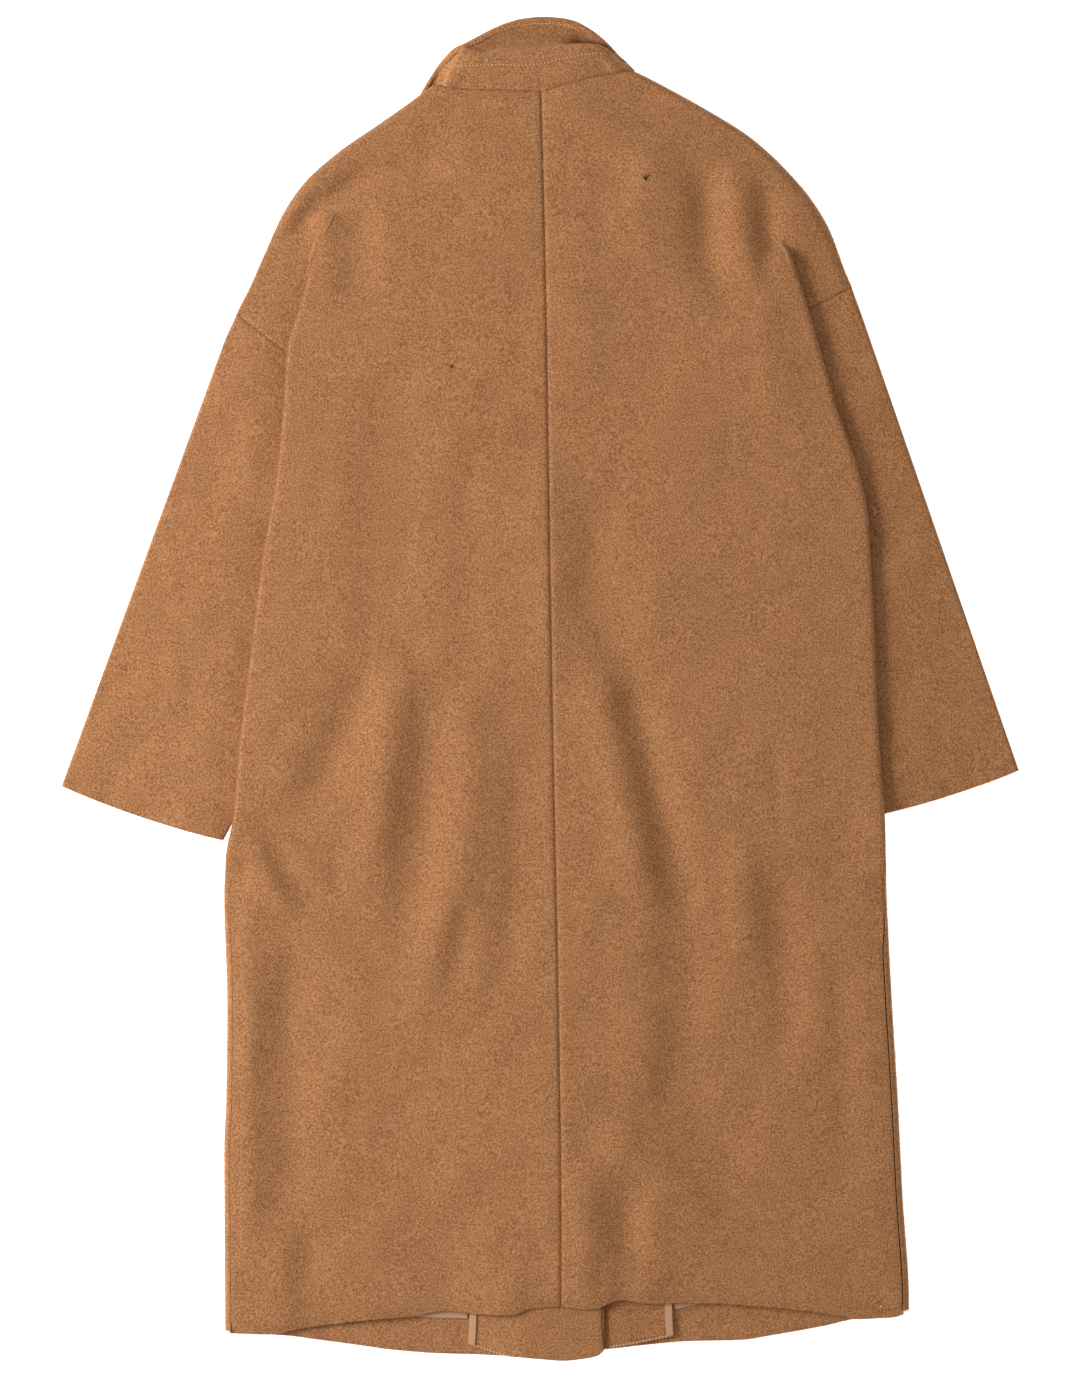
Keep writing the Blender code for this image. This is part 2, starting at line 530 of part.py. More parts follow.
def front_row(side, level):
    """Middle-surface points of a front panel at a level, from its front edge outward."""
    lines = LAP_LINES if side.hand < 0 else RIGHT_LINES
    start, _, turned = side_section(side, level, True)
    places = list(lines) + [blend(lines[-1], start, share) for share in FRONT_SHARES]
    if level > side.pleat:
        near = min(lines[-1] * side.hand, start * side.hand * 0.8) * side.hand
        squeeze = (near - lines[0]) / (lines[-1] - lines[0])
        places = [lines[0] + (x - lines[0]) * squeeze for x in lines]
        places += [blend(near, start, share) for share in FRONT_SHARES]
    section = [(x, front_height(side, x, level)) for x in places]
    section += turned or [section[-1]] * (2 * TURN_STEPS + PLEAT_STEPS)
    section += cap_columns(side, level, section[-1], True)
    return [(x, front_y(side, x, level), z) for x, z in section]


def levels(side):
    """Levels of a side's rows: its named ones, and even ones between."""
    named = [NECK_LEVEL, HEM_ZONE_START, blend(HEM_ZONE_START, HEM_ZONE_END, 0.5), HEM_ZONE_END, HEM_LEVEL]
    named += [FACING_LEVELS[0], side.corner, side.crossing, side.crossing + 0.010]
    named += [turn.level for turn in side.turns]
    named += [blend(side.turns[i].level, side.turns[i + 1].level, 0.5) for i in (0, 1)]
    named = sorted(set(named), reverse=True)
    result = []
    for upper, lower in zip(named, named[1:]):
        count = max(1, math.ceil((upper - lower) / ROW_STEP))
        result += [blend(upper, lower, i / count) for i in range(count)]
    return result + [named[-1]]


def turned_hem(side):
    """Rows of a front's turned-up hem, from the hem's fold up to its bound edge."""
    lines = LAP_LINES if side.hand < 0 else RIGHT_LINES
    foot = front_row(side, HEM_LEVEL)[:len(lines) + len(FRONT_SHARES) - 1]
    rows = [foot]
    for i in range(1, HEM_TURN_STEPS + 1):
        angle = math.pi * i / HEM_TURN_STEPS
        out = HEM_TURN_RADIUS * math.sin(angle)
        up = HEM_TURN_RADIUS * (1 - math.cos(angle))
        rows.append([(x, y - out, z + up) for x, y, z in foot])
    for share in (0.5, 1.0):
        rows.append([(x, y + HEM_ALLOWANCE * share, z + LAYER) for x, y, z in foot])
    return rows


def hem_tape_rows(side):
    """Rows of the tape that binds the turned-up hem: the hem's own points moved up."""
    first = TAPE_LINE if side.hand < 0 else RIGHT_TAPE_LINE
    bound = turned_hem(side)[-1][first:-1]
    lift = CLOTH / 2 + SEAM_GAP + TAPE_CLOTH / 2
    return [[(x, y - down, z + lift) for x, y, z in bound] for down in (0.0, TAPE_WIDTH)]


def facing_rows(side, tape):
    """Rows of a facing, or of the tape on its inner edge: the front's own points moved up."""
    left = side.hand < 0
    lines = LAP_LINES[:FACING_LINES] if left else RIGHT_LINES[:RIGHT_FACING_LINES]
    foot = LEFT_FACING_HEM if left else RIGHT_FACING_HEM
    lift = CLOTH / 2 + SEAM_GAP + TAPE_CLOTH / 2 if tape else 0.0
    rows = []
    for level in FACING_LEVELS:
        narrow = 1.0
        if not left:
            taper = ease((level - FACING_TAPER_FROM) / (FACING_TAPER_TO - FACING_TAPER_FROM))
            narrow = blend(1.0, RIGHT_FACING_TOP_WIDTH / FACING_WIDTH, taper)
        places = [lines[0] + (x - lines[0]) * narrow for x in lines]
        places[0] += side.hand * SEAM_GAP
        heights = [facing_height(side, x, level) for x in places]
        if tape:
            share = TAPE_WIDTH / abs(places[-1] - places[-2])
            heights = [blend(heights[-1], heights[-2], share), heights[-1]]
            places = [blend(places[-1], places[-2], share), places[-1]]
        row = []
        for x, z in zip(places, heights):
            y = read(foot, x) if level == HEM_LEVEL else front_y(side, x, level)
            row.append((x, y, z + lift))
        rows.append(row)
    return rows


def sleeve_rings(side, count):
    """Rings of a sleeve, a flattened tube from the armhole seam to the cuff."""
    head_in = side.underarm + 0.010
    head = [(read(side.armhole, level), level) for level in (side.corner, head_in)]
    along = (head[1][0] - head[0][0], head[1][1] - head[0][1])
    length = math.hypot(*along)
    away = (-side.hand * along[1] / length, side.hand * along[0] / length)
    shift = SEAM_GAP * 2
    head = [(x + away[0] * shift, y + away[1] * shift) for x, y in head]
    rings = []
    for i in range(count + 1):
        outer = [blend(a, b, i / count) for a, b in zip(head[0], side.cuff_out)]
        inner = [blend(a, b, i / count) for a, b in zip(head[1], side.cuff_in)]
        rings.append(sleeve_ring(side, outer, inner))
    return rings


def sleeve_ring(side, outer, inner):
    """One ring of a sleeve, over its line from the outer edge to the inner one."""
    width = math.hypot(inner[0] - outer[0], inner[1] - outer[1])

    def beyond(place):
        x, y = [blend(a, b, place / width) for a, b in zip(outer, inner)]
        return side.hand * (x - read(side.edge, y))

    def walls(place):
        top = CAP_HEIGHT - CAP_FALL * ease(beyond(place) / CAP_FALL_WIDTH)
        low = blend(UNDERCAP_HEIGHT, FLOOR_CLOTH, ease((beyond(place) - SLEEVE_DROP_FROM) / SLEEVE_DROP_WIDTH))
        return top, low

    rounds = [(walls(place)[0] - walls(place)[1]) / 2 for place in (0.0, width)]
    first, last = CLOTH / 2 + rounds[0], width - CLOTH / 2 - rounds[1]
    near, far = 0.0, width
    for _ in range(40):
        middle = (near + far) / 2
        near, far = (middle, far) if beyond(middle) > 0 else (near, middle)
    cross = min(max(near, first + SLEEVE_DROP_WIDTH + 0.010), last - 0.004)
    shares = (0.0, 0.134, 0.5, 1.0)
    places = [(CLOTH / 2 + rounds[0] * share, share) for share in shares]
    landing = cross - SLEEVE_DROP_FROM - SLEEVE_DROP_WIDTH
    places += [(blend(first, landing, 0.5), 1.0), (landing, 1.0), (landing + SLEEVE_DROP_WIDTH * 0.4, 1.0)]
    places += [(landing + SLEEVE_DROP_WIDTH * 0.7, 1.0), (cross - SLEEVE_DROP_FROM, 1.0)]
    places += [(blend(cross, last, 0.33), 1.0), (blend(cross, last, 0.67), 1.0)]
    places += [(width - CLOTH / 2 - rounds[1] * share, share) for share in reversed(shares)]
    upper, lower = [], []
    for place, share in places:
        x, y = [blend(a, b, place / width) for a, b in zip(outer, inner)]
        top, low = walls(place)
        middle, half = (top + low) / 2, (top - low) / 2
        swell = math.sqrt(max(0.0, 1 - (1 - share) ** 2))
        upper.append((x, y, middle + half * swell))
        if share > 0:
            lower.append((x, y, middle - half * swell))
    return upper + lower[::-1]


def collar_sections():
    """Collar sections: the table's rows and even ones between, as flat lists of numbers."""
    rows = []
    for place, row in enumerate(COLLAR):
        rows.append((place, *row.seam, *row.stand, *row.roll, *row.edge, row.turn))
    count = (len(rows) - 1) * COLLAR_ROW_STEPS
    sections = []
    for i in range(count + 1):
        key = i / COLLAR_ROW_STEPS
        sections.append([read(rows, key, column) for column in range(1, 14)])
    return sections


def joint(values):
    """Direction of the cloth where the stand meets the fall."""
    seam, stand, roll = values[0:3], values[3:6], values[6:9]
    direction = [0.0, 0.0, 0.0]
    for first, second in ((seam, stand), (stand, roll)):
        step = [b - a for a, b in zip(first, second)]
        length = math.sqrt(sum(part * part for part in step))
        direction = [part + move / length for part, move in zip(direction, step)]
    length = math.sqrt(sum(part * part for part in direction))
    return [part / length for part in direction]


def moved(point, direction, run):
    """A point moved along a direction."""
    return tuple(a + b * run for a, b in zip(point, direction))


def stand_rows():
    """Rows of the collar stand, from the neck seam to its top."""
    rows = []
    for values in collar_sections():
        direction = joint(values)
        seam, stand = values[0:3], values[3:6]
        top = moved(stand, direction, -JOINT_GAP / 2)
        below = moved(stand, direction, -JOINT_RUN)
        row = [tuple(blend(a, b, i / STAND_STEPS) for a, b in zip(seam, below)) for i in range(STAND_STEPS + 1)]
        rows.append(row + [top])
    return rows


def fall_rows():
    """Rows of the collar fall: up from the stand, over the roll, back under it and out to the edge."""
    rows = []
    for values in collar_sections():
        direction = joint(values)
        stand, roll, edge, turn = values[3:6], values[6:9], values[9:12], values[12]
        away = (roll[0] - stand[0], roll[1] - stand[1])
        length = math.hypot(*away)
        away = (away[0] / length, away[1] / length)
        row = [moved(stand, direction, JOINT_GAP / 2), moved(stand, direction, JOINT_RUN)]
        reach = max(JOINT_RUN + 0.001, length - ROLL_RADIUS - COLLAR_CLOTH / 2)
        top = (stand[0] + away[0] * reach, stand[1] + away[1] * reach, roll[2])
        row.append(top)
        back = ROLL_RETURN * ease(turn / 150)
        for run, height in tail(0.0, top[2], 1, -1, turn, ROLL_RADIUS, back, 0, ROLL_INNER, ROLL_LEAST):
            row.append((top[0] + away[0] * run, top[1] + away[1] * run, height))
        last = row[-1]
        for i in range(1, FALL_STEPS + 1):
            share = i / FALL_STEPS
            point = [blend(a, b, share) for a, b in zip(last, edge)]
            point[2] = blend(last[2], edge[2], ease(share))
            row.append(tuple(point))
        rows.append(row)
    return rows


def clear_scene():
    for thing in list(bpy.data.objects):
        bpy.data.objects.remove(thing)


def cloth_material(name, colour):
    material = bpy.data.materials.new(name)
    material.use_nodes = True
    shader = material.node_tree.nodes["Principled BSDF"]
    shader.inputs["Base Color"].default_value = colour
    shader.inputs["Roughness"].default_value = 0.9
    return material


def sheet(name, blocks, thickness, colour, ring=False):
    """A named solid: blocks of rows of points joined into one sheet and thickened."""
    mesh = bpy.data.meshes.new(name)
    net = bmesh.new()
    for rows in blocks:
        grid = [[net.verts.new(point) for point in row] for row in rows]
        for upper, lower in zip(grid, grid[1:]):
            count = len(upper) if ring else len(upper) - 1
            for i in range(count):
                j = (i + 1) % len(upper)
                net.faces.new((upper[i], upper[j], lower[j], lower[i]))
    bmesh.ops.remove_doubles(net, verts=net.verts, dist=0.00002)
    bmesh.ops.recalc_face_normals(net, faces=net.faces)
    net.to_mesh(mesh)
    net.free()
    thing = bpy.data.objects.new(name, mesh)
    bpy.context.scene.collection.objects.link(thing)
    wall = thing.modifiers.new("wall", "SOLIDIFY")
    wall.thickness = thickness
    wall.offset = 0.0
    mesh.materials.append(cloth_material(name + "_cloth", colour))
    return thing


clear_scene()
for half in (LEFT, RIGHT):
    sheet("back_" + half.name, [[back_row(half, at) for at in levels(half)]], CLOTH, WOOL)
    front = [front_row(half, at) for at in levels(half)]
    sheet("front_" + half.name, [front, turned_hem(half)], CLOTH, WOOL)
    sheet("sleeve_" + half.name, [sleeve_rings(half, 11)], CLOTH, WOOL, True)
    sheet("facing_" + half.name, [facing_rows(half, False)], CLOTH, WOOL_INSIDE)
    sheet("facing_tape_" + half.name, [facing_rows(half, True)], TAPE_CLOTH, TAPE)
    sheet("hem_tape_" + half.name, [hem_tape_rows(half)], TAPE_CLOTH, TAPE)
sheet("collar_stand", [stand_rows()], COLLAR_CLOTH, WOOL)
sheet("collar_fall", [fall_rows()], COLLAR_CLOTH, WOOL)
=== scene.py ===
"""Looks of an oversized camel wool coat that lies face down on a pale floor, its back up.

Metres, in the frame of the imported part: +Y towards the collar, -X the coat's left side.
Each cloth piece is a grid bent through the sections of its solid, with more rows and columns than
the solid has, then thickened. A level is a place along the coat's length, before the row of points
there is bent to follow the neck seam or the hem.
"""
import math
from collections import namedtuple

import bmesh
import bpy
import numpy as np
from mathutils import Matrix, Vector


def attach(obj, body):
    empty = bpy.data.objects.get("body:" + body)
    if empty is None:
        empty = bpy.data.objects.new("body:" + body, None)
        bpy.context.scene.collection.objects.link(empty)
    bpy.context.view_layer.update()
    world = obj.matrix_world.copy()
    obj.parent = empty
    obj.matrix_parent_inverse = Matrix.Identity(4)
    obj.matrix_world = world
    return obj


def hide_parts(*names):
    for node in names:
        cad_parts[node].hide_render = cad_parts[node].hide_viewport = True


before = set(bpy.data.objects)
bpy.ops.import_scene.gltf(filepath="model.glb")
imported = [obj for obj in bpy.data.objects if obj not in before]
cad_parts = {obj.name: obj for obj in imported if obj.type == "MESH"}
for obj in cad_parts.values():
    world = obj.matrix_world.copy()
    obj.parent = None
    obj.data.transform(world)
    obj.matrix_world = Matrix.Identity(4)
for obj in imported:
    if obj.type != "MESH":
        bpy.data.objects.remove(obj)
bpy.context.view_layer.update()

# Cloth: thickness of each kind, gap and lap at a seam, middle of cloth on the floor
CLOTH = 0.0020
COLLAR_CLOTH = 0.0026
TAPE_CLOTH = 0.0010
SEAM_GAP = 0.0003
SEAM_LAP = 0.0003
LAYER = CLOTH + SEAM_GAP
FLOOR_CLOTH = CLOTH / 2

# Length of the body
NECK_LEVEL, HEM_LEVEL = 0.537, -0.560
NECK_FADE, HEM_FADE, FRONT_NECK_FADE = 0.107, 0.100, 0.257
ROW_STEP = 0.0042
ROWS_BY_THE_NECK, ROWS_BY_THE_HEM = (0.0, 0.0006, 0.0013, 0.0024), (0.0, 0.0015, 0.0030)
ROW_BY_THE_CROSSING = 0.010

# Front closing
LEFT_FRONT_EDGE, RIGHT_FRONT_EDGE = 0.0567, -0.0045
FACING_WIDTH, RIGHT_FACING_TOP_WIDTH = 0.1205, 0.070
LEFT_FACING_END, RIGHT_FACING_END, FACING_LEAN = -0.0642, 0.1178, 0.0018
CLOSING_LEAN, CLOSING_LEAN_RUN, LAP_SWELL = 0.0030, 0.034, 0.0030
LAP_SWELL_FROM, LAP_SWELL_RISE, LAP_SWELL_TO, LAP_SWELL_FADE = 0.001, 0.005, 0.050, 0.040
FACING_TOP, FACING_FOOT = 0.420, -0.526
FACING_TAPER_FROM, FACING_TAPER_TO = -0.250, 0.080
LEFT_TAPE_START, RIGHT_TAPE_START, RIGHT_TAPE_RISE, TAPE_RISE_RUN = -0.0660, 0.1196, 0.0050, 0.034
LAP_EASE, LAP_START, LAP_END = 0.0006, -0.075, -0.010
LEFT_HEM_ALLOWANCE, RIGHT_HEM_ALLOWANCE = 0.0363, 0.0340
HEM_TURN_RADIUS = LAYER / 2
HEM_ZONE_START, HEM_ZONE_END = -0.498, -0.526
TAPE_WIDTH = 0.0062

# Heights of the cloth's middle surface over the floor
SHOULDER_FOLD_HEIGHT, NECK_FOLD_HEIGHT = 0.0130, 0.0150
CAP_HEIGHT, CAP_FALL, CAP_FALL_WIDTH = 0.0089, 0.0042, 0.115
SHOULDER_FALL, SHOULDER_BLEND, SHOULDER_FOLD_FADE, LEAST_GIVE = 0.0030, 0.070, 0.025, 0.0008
LEAST_MARGIN, LEAST_SLOPE, LEAST_CLEAR = 0.005, 0.025, 0.0006
STACK_RUN, STACK_ABOVE, STACK_MARGIN = 0.012, 0.022, 0.008
TUCK_DIP, TUCK_DIP_WIDTH = 0.0018, 0.016
CAP_EDGE_HEIGHT, CAP_EDGE_ROUND = 0.0032, 0.010
NECK_CORNER_LIFT, NECK_CORNER_RUN = 0.0060, 0.028
UNDERCAP_HEIGHT, UNDERCAP_EDGE_HEIGHT, UNDERCAP_FALL_WIDTH = 0.0062, 0.0026, 0.034
PLEAT_OPEN, PLEAT_LEAST, LEAST_ANGLE = 172, 0.0024, 0.001
EDGE_SWELL_WIDTH, SIDE_SWELL_WIDTH, SWELL_FROM, SWELL_RUN = 0.040, 0.018, -0.210, 0.150
FRONT_INSET = 0.003
UNDERARM_RUN = 0.020
SLEEVE_DROP_FROM, SLEEVE_DROP_WIDTH = 0.002, 0.026
SLEEVE_BOW_RUN, SLEEVE_LENGTH, SLEEVE_WAVES = 0.06, 0.45, 1.3
CUFF_BOW, CUFF_BOW_RUN, CUFF_BOW_ROUND = 0.0040, 0.10, 0.7

# Columns of points across a piece
BODY_SHARES = np.concatenate([(0.0, 0.002, 0.0045, 0.008, 0.013, 0.020), np.linspace(0.03, 1, 63)])
FRONT_SHARES = np.linspace(0, 1, 45)
CAP_SHARES = 1 - (1 - np.linspace(0, 1, 31)[1:]) ** 1.8
UNDERCAP_SHARES = np.linspace(0, 1, 9)[1:]
FACING_SHARES = np.linspace(0, 1, 31)
TURN_STEPS = 7
PLEAT_STEPS = 4
HEM_TURN_STEPS = 6
TUBE_TURN_STEPS, TUBE_FLAT_STEPS = 7, 44

# Seam grooves: depth and half width of the dip of the cloth towards a seam, half width of its dark line (the
# seam's own dark and painted shade in the groove), and how much nearer a seam is than its distance along a
# row where it runs aslant. Then the hem's roll.
GROOVE_DEPTH, GROOVE_WIDTH, SEAM_LINE, SLANT = 0.0012, 0.0017, 0.0009, 0.7
HEM_ROLL, HEM_ROLL_WIDTH = 0.0016, 0.0050

# Painted shade along the left edges, which the lamp from the left would light: strength at the tuck, share of
# it on the side, the sleeve and the rim of the shoulder, level where the side begins, run of the change
# there, width of the rim
EDGE_SHADE, SIDE_SHADE, SIDE_SHADE_LEVEL, SIDE_SHADE_RUN = 0.70, 0.64, -0.120, 0.030
RIM_SHADE_WIDTH = 0.016

# Centre-back seam: level, x
CENTRE_BACK = (
    (0.537, 0.0000), (0.350, 0.0045), (0.116, 0.0080), (-0.055, 0.0110),
    (-0.280, 0.0155), (-0.475, 0.0180), (-0.560, 0.0180),
)

# Rise of the neck seam over the neck level: x, rise
NECK_RISE = (
    (-0.150, 0.0044), (-0.096, 0.0044), (-0.064, 0.0017), (-0.028, 0.0008), (0.000, 0.0000),
    (0.017, 0.0045), (0.055, 0.0143), (0.082, 0.0180), (0.150, 0.0200),
)

# Front neckline: x, y
FRONT_NECK = (
    (-0.092, 0.5370), (-0.080, 0.5150), (-0.032, 0.4810), (0.022, 0.4650),
    (0.030, 0.4650), (0.051, 0.4890), (0.069, 0.5240), (0.082, 0.5480),
)

# Hem of the back: x, y
BACK_HEM = (
    (-0.285, -0.5800), (-0.239, -0.5810), (-0.223, -0.5770), (-0.192, -0.5725), (-0.153, -0.5680),
    (-0.117, -0.5650), (-0.085, -0.5600), (-0.066, -0.5616), (-0.033, -0.5633), (-0.022, -0.5616),
    (-0.010, -0.5576), (0.018, -0.5553), (0.038, -0.5580), (0.050, -0.5576), (0.060, -0.5530),
    (0.070, -0.5495), (0.096, -0.5530), (0.148, -0.5530), (0.195, -0.5558), (0.234, -0.5594),
    (0.272, -0.5648), (0.283, -0.5675), (0.305, -0.5666), (0.318, -0.5657), (0.331, -0.5610),
)

# Hems of the fronts: x, y
LEFT_FRONT_HEM = (
    (-0.285, -0.5800), (-0.231, -0.5828), (-0.198, -0.5870), (-0.168, -0.5910), (-0.131, -0.5960),
    (-0.090, -0.5990), (-0.049, -0.6000), (0.000, -0.6020), (0.020, -0.6030), (0.042, -0.6015),
    (0.057, -0.5950),
)
RIGHT_FRONT_HEM = (
    (-0.005, -0.5995), (0.057, -0.5954), (0.092, -0.5916), (0.133, -0.5880), (0.179, -0.5870),
    (0.206, -0.5830), (0.256, -0.5740), (0.283, -0.5680), (0.305, -0.5666), (0.331, -0.5610),
)

# Lower edges of the facings: x, y
LEFT_FACING_HEM = (
    (-0.064, -0.5900), (-0.050, -0.5945), (-0.030, -0.6000), (0.000, -0.6030), (0.020, -0.6044),
    (0.042, -0.6020), (0.051, -0.6000), (0.057, -0.5950),
)
RIGHT_FACING_HEM = ((-0.005, -0.5960), (0.057, -0.5930), (0.080, -0.5900), (0.106, -0.5850), (0.119, -0.5825))

# Height of the back between its edges: level, at the centre, halfway to the side
BACK_HEIGHTS = (
    (0.537, 0.0170, 0.0160), (0.430, 0.0165, 0.0165), (0.200, 0.0170, 0.0180), (-0.060, 0.0168, 0.0178),
    (-0.180, 0.0155, 0.0125), (-0.280, 0.0150, 0.0110), (-0.470, 0.0150, 0.0110), (-0.540, 0.0168, 0.0100),
    (-0.590, 0.0165, 0.0088),
)
CENTRE_FROM, CENTRE_TO, CENTRE_FALL, HEM_CENTRE_FALL = -0.025, 0.062, 0.120, 0.065
HEM_FALL_FROM, HEM_FALL_RUN = -0.40, 0.12

# Turn of the cloth at the side: level, angle of the outer turn, heading at the side seam, radius of
# the outer turn, radius of the inner turn, radius and angle of the front's outer turn
Turn = namedtuple("Turn", "level turn heading radius inner front_radius front_turn")
LEFT_TURNS = (
    Turn(0.4290, 0, 0, 0.0030, 0.0013, 0.0013, 0),
    Turn(0.4000, 60, 0, 0.0030, 0.0013, 0.0013, 60),
    Turn(0.3620, 180, 0, 0.0030, 0.0013, 0.0013, 180),
    Turn(0.1985, 180, 0, 0.0030, 0.0013, 0.0013, 180),
    Turn(0.1785, 180, 90, 0.0030, 0.0038, 0.0013, 180),
    Turn(-0.1250, 180, 90, 0.0030, 0.0038, 0.0013, 180),
    Turn(-0.1430, 180, 90, 0.0024, 0.0022, 0.0013, 180),
    Turn(-0.1650, 90, 90, 0.0045, 0.0020, 0.0045, 90),
    Turn(-0.1900, 45, 45, 0.0045, 0.0020, 0.0045, 135),
    Turn(-0.2250, 0, 0, 0.0045, 0.0020, 0.0045, 180),
)
RIGHT_TURNS = (
    Turn(0.4010, 0, 0, 0.0030, 0.0013, 0.0013, 0),
    Turn(0.3940, 90, 0, 0.0030, 0.0013, 0.0013, 90),
    Turn(0.3850, 180, 0, 0.0030, 0.0013, 0.0013, 180),
    Turn(0.2635, 180, 0, 0.0030, 0.0013, 0.0013, 180),
    Turn(0.2435, 180, 90, 0.0030, 0.0038, 0.0013, 180),
    Turn(-0.1280, 180, 90, 0.0030, 0.0038, 0.0013, 180),
    Turn(-0.1500, 180, 90, 0.0024, 0.0022, 0.0013, 180),
    Turn(-0.1720, 90, 90, 0.0045, 0.0020, 0.0045, 90),
    Turn(-0.2000, 45, 45, 0.0045, 0.0020, 0.0045, 135),
    Turn(-0.2350, 0, 0, 0.0045, 0.0020, 0.0045, 180),
)

# A side of the coat. edge: the body's visible edge over the sleeve, then the side. outline: the
# shoulder, then the sleeve's outer edge. armhole: the armhole seam. inner: the hidden fold of the
# pleat, then the side seam. All four are level, x. The cuff's corners are x, y.
Side = namedtuple(
    "Side",
    "name hand edge outline armhole inner turns pleat pleat_run corner crossing underarm"
    " cuff_out cuff_in sleeve_bow side_gap",
)
LEFT_SIDE = Side(
    name="left",
    hand=-1,
    edge=(
        (0.537, -0.0830), (0.498, -0.1290), (0.465, -0.1610), (0.429, -0.1880), (0.386, -0.2050),
        (0.340, -0.2180), (0.304, -0.2285), (0.252, -0.2320), (0.188, -0.2385), (0.116, -0.2510),
        (0.026, -0.2620), (-0.046, -0.2710), (-0.127, -0.2785), (-0.138, -0.2815), (-0.154, -0.2838),
        (-0.190, -0.2853), (-0.280, -0.2826), (-0.370, -0.2835), (-0.415, -0.2853), (-0.560, -0.2844),
    ),
    outline=(
        (0.537, -0.0985), (0.526, -0.1135), (0.504, -0.1465), (0.478, -0.1860), (0.4525, -0.2150),
        (0.426, -0.2330), (0.3945, -0.2475), (0.3585, -0.2635), (0.337, -0.2745), (0.327, -0.2790),
        (-0.0824, -0.4293),
    ),
    armhole=((0.337, -0.2745), (0.1985, -0.0910)),
    inner=((0.375, -0.2030), (0.1985, -0.0850), (-0.127, -0.2690), (-0.143, -0.2740), (-0.154, -0.2780)),
    turns=LEFT_TURNS,
    pleat=0.429,
    pleat_run=0.068,
    corner=0.337,
    crossing=0.3035,
    underarm=0.1985,
    cuff_out=(-0.4300, -0.0880),
    cuff_in=(-0.2860, -0.1364),
    sleeve_bow=0.0018,
    side_gap=0.0001,
)
RIGHT_SIDE = Side(
    name="right",
    hand=1,
    edge=(
        (0.537, 0.0680), (0.500, 0.1180), (0.4705, 0.1590), (0.435, 0.1950), (0.401, 0.2195),
        (0.358, 0.2350), (0.301, 0.2520), (0.2425, 0.2690), (0.197, 0.2850), (0.156, 0.2940),
        (0.107, 0.2970), (0.0435, 0.3000), (-0.028, 0.3030), (-0.082, 0.3065), (-0.114, 0.3090),
        (-0.190, 0.3114), (-0.280, 0.3159), (-0.370, 0.3213), (-0.460, 0.3258), (-0.541, 0.3312),
        (-0.560, 0.3315),
    ),
    outline=(
        (0.537, 0.0830), (0.5215, 0.1145), (0.506, 0.1470), (0.4845, 0.1900), (0.4625, 0.2205),
        (0.439, 0.2440), (0.4125, 0.2600), (0.3765, 0.2735), (0.361, 0.2800), (0.3497, 0.2835),
        (0.2597, 0.3150), (0.080, 0.3762), (-0.073, 0.4300),
    ),
    armhole=((0.361, 0.2800), (0.2635, 0.0800)),
    inner=((0.357, 0.2290), (0.2635, 0.0740), (-0.120, 0.2700), (-0.150, 0.3000), (-0.165, 0.3050)),
    turns=RIGHT_TURNS,
    pleat=0.401,
    pleat_run=0.020,
    corner=0.361,
    crossing=0.3420,
    underarm=0.2635,
    cuff_out=(0.4300, -0.0735),
    cuff_in=(0.2850, -0.1175),
    sleeve_bow=0.0004,
    side_gap=0.0010,
)
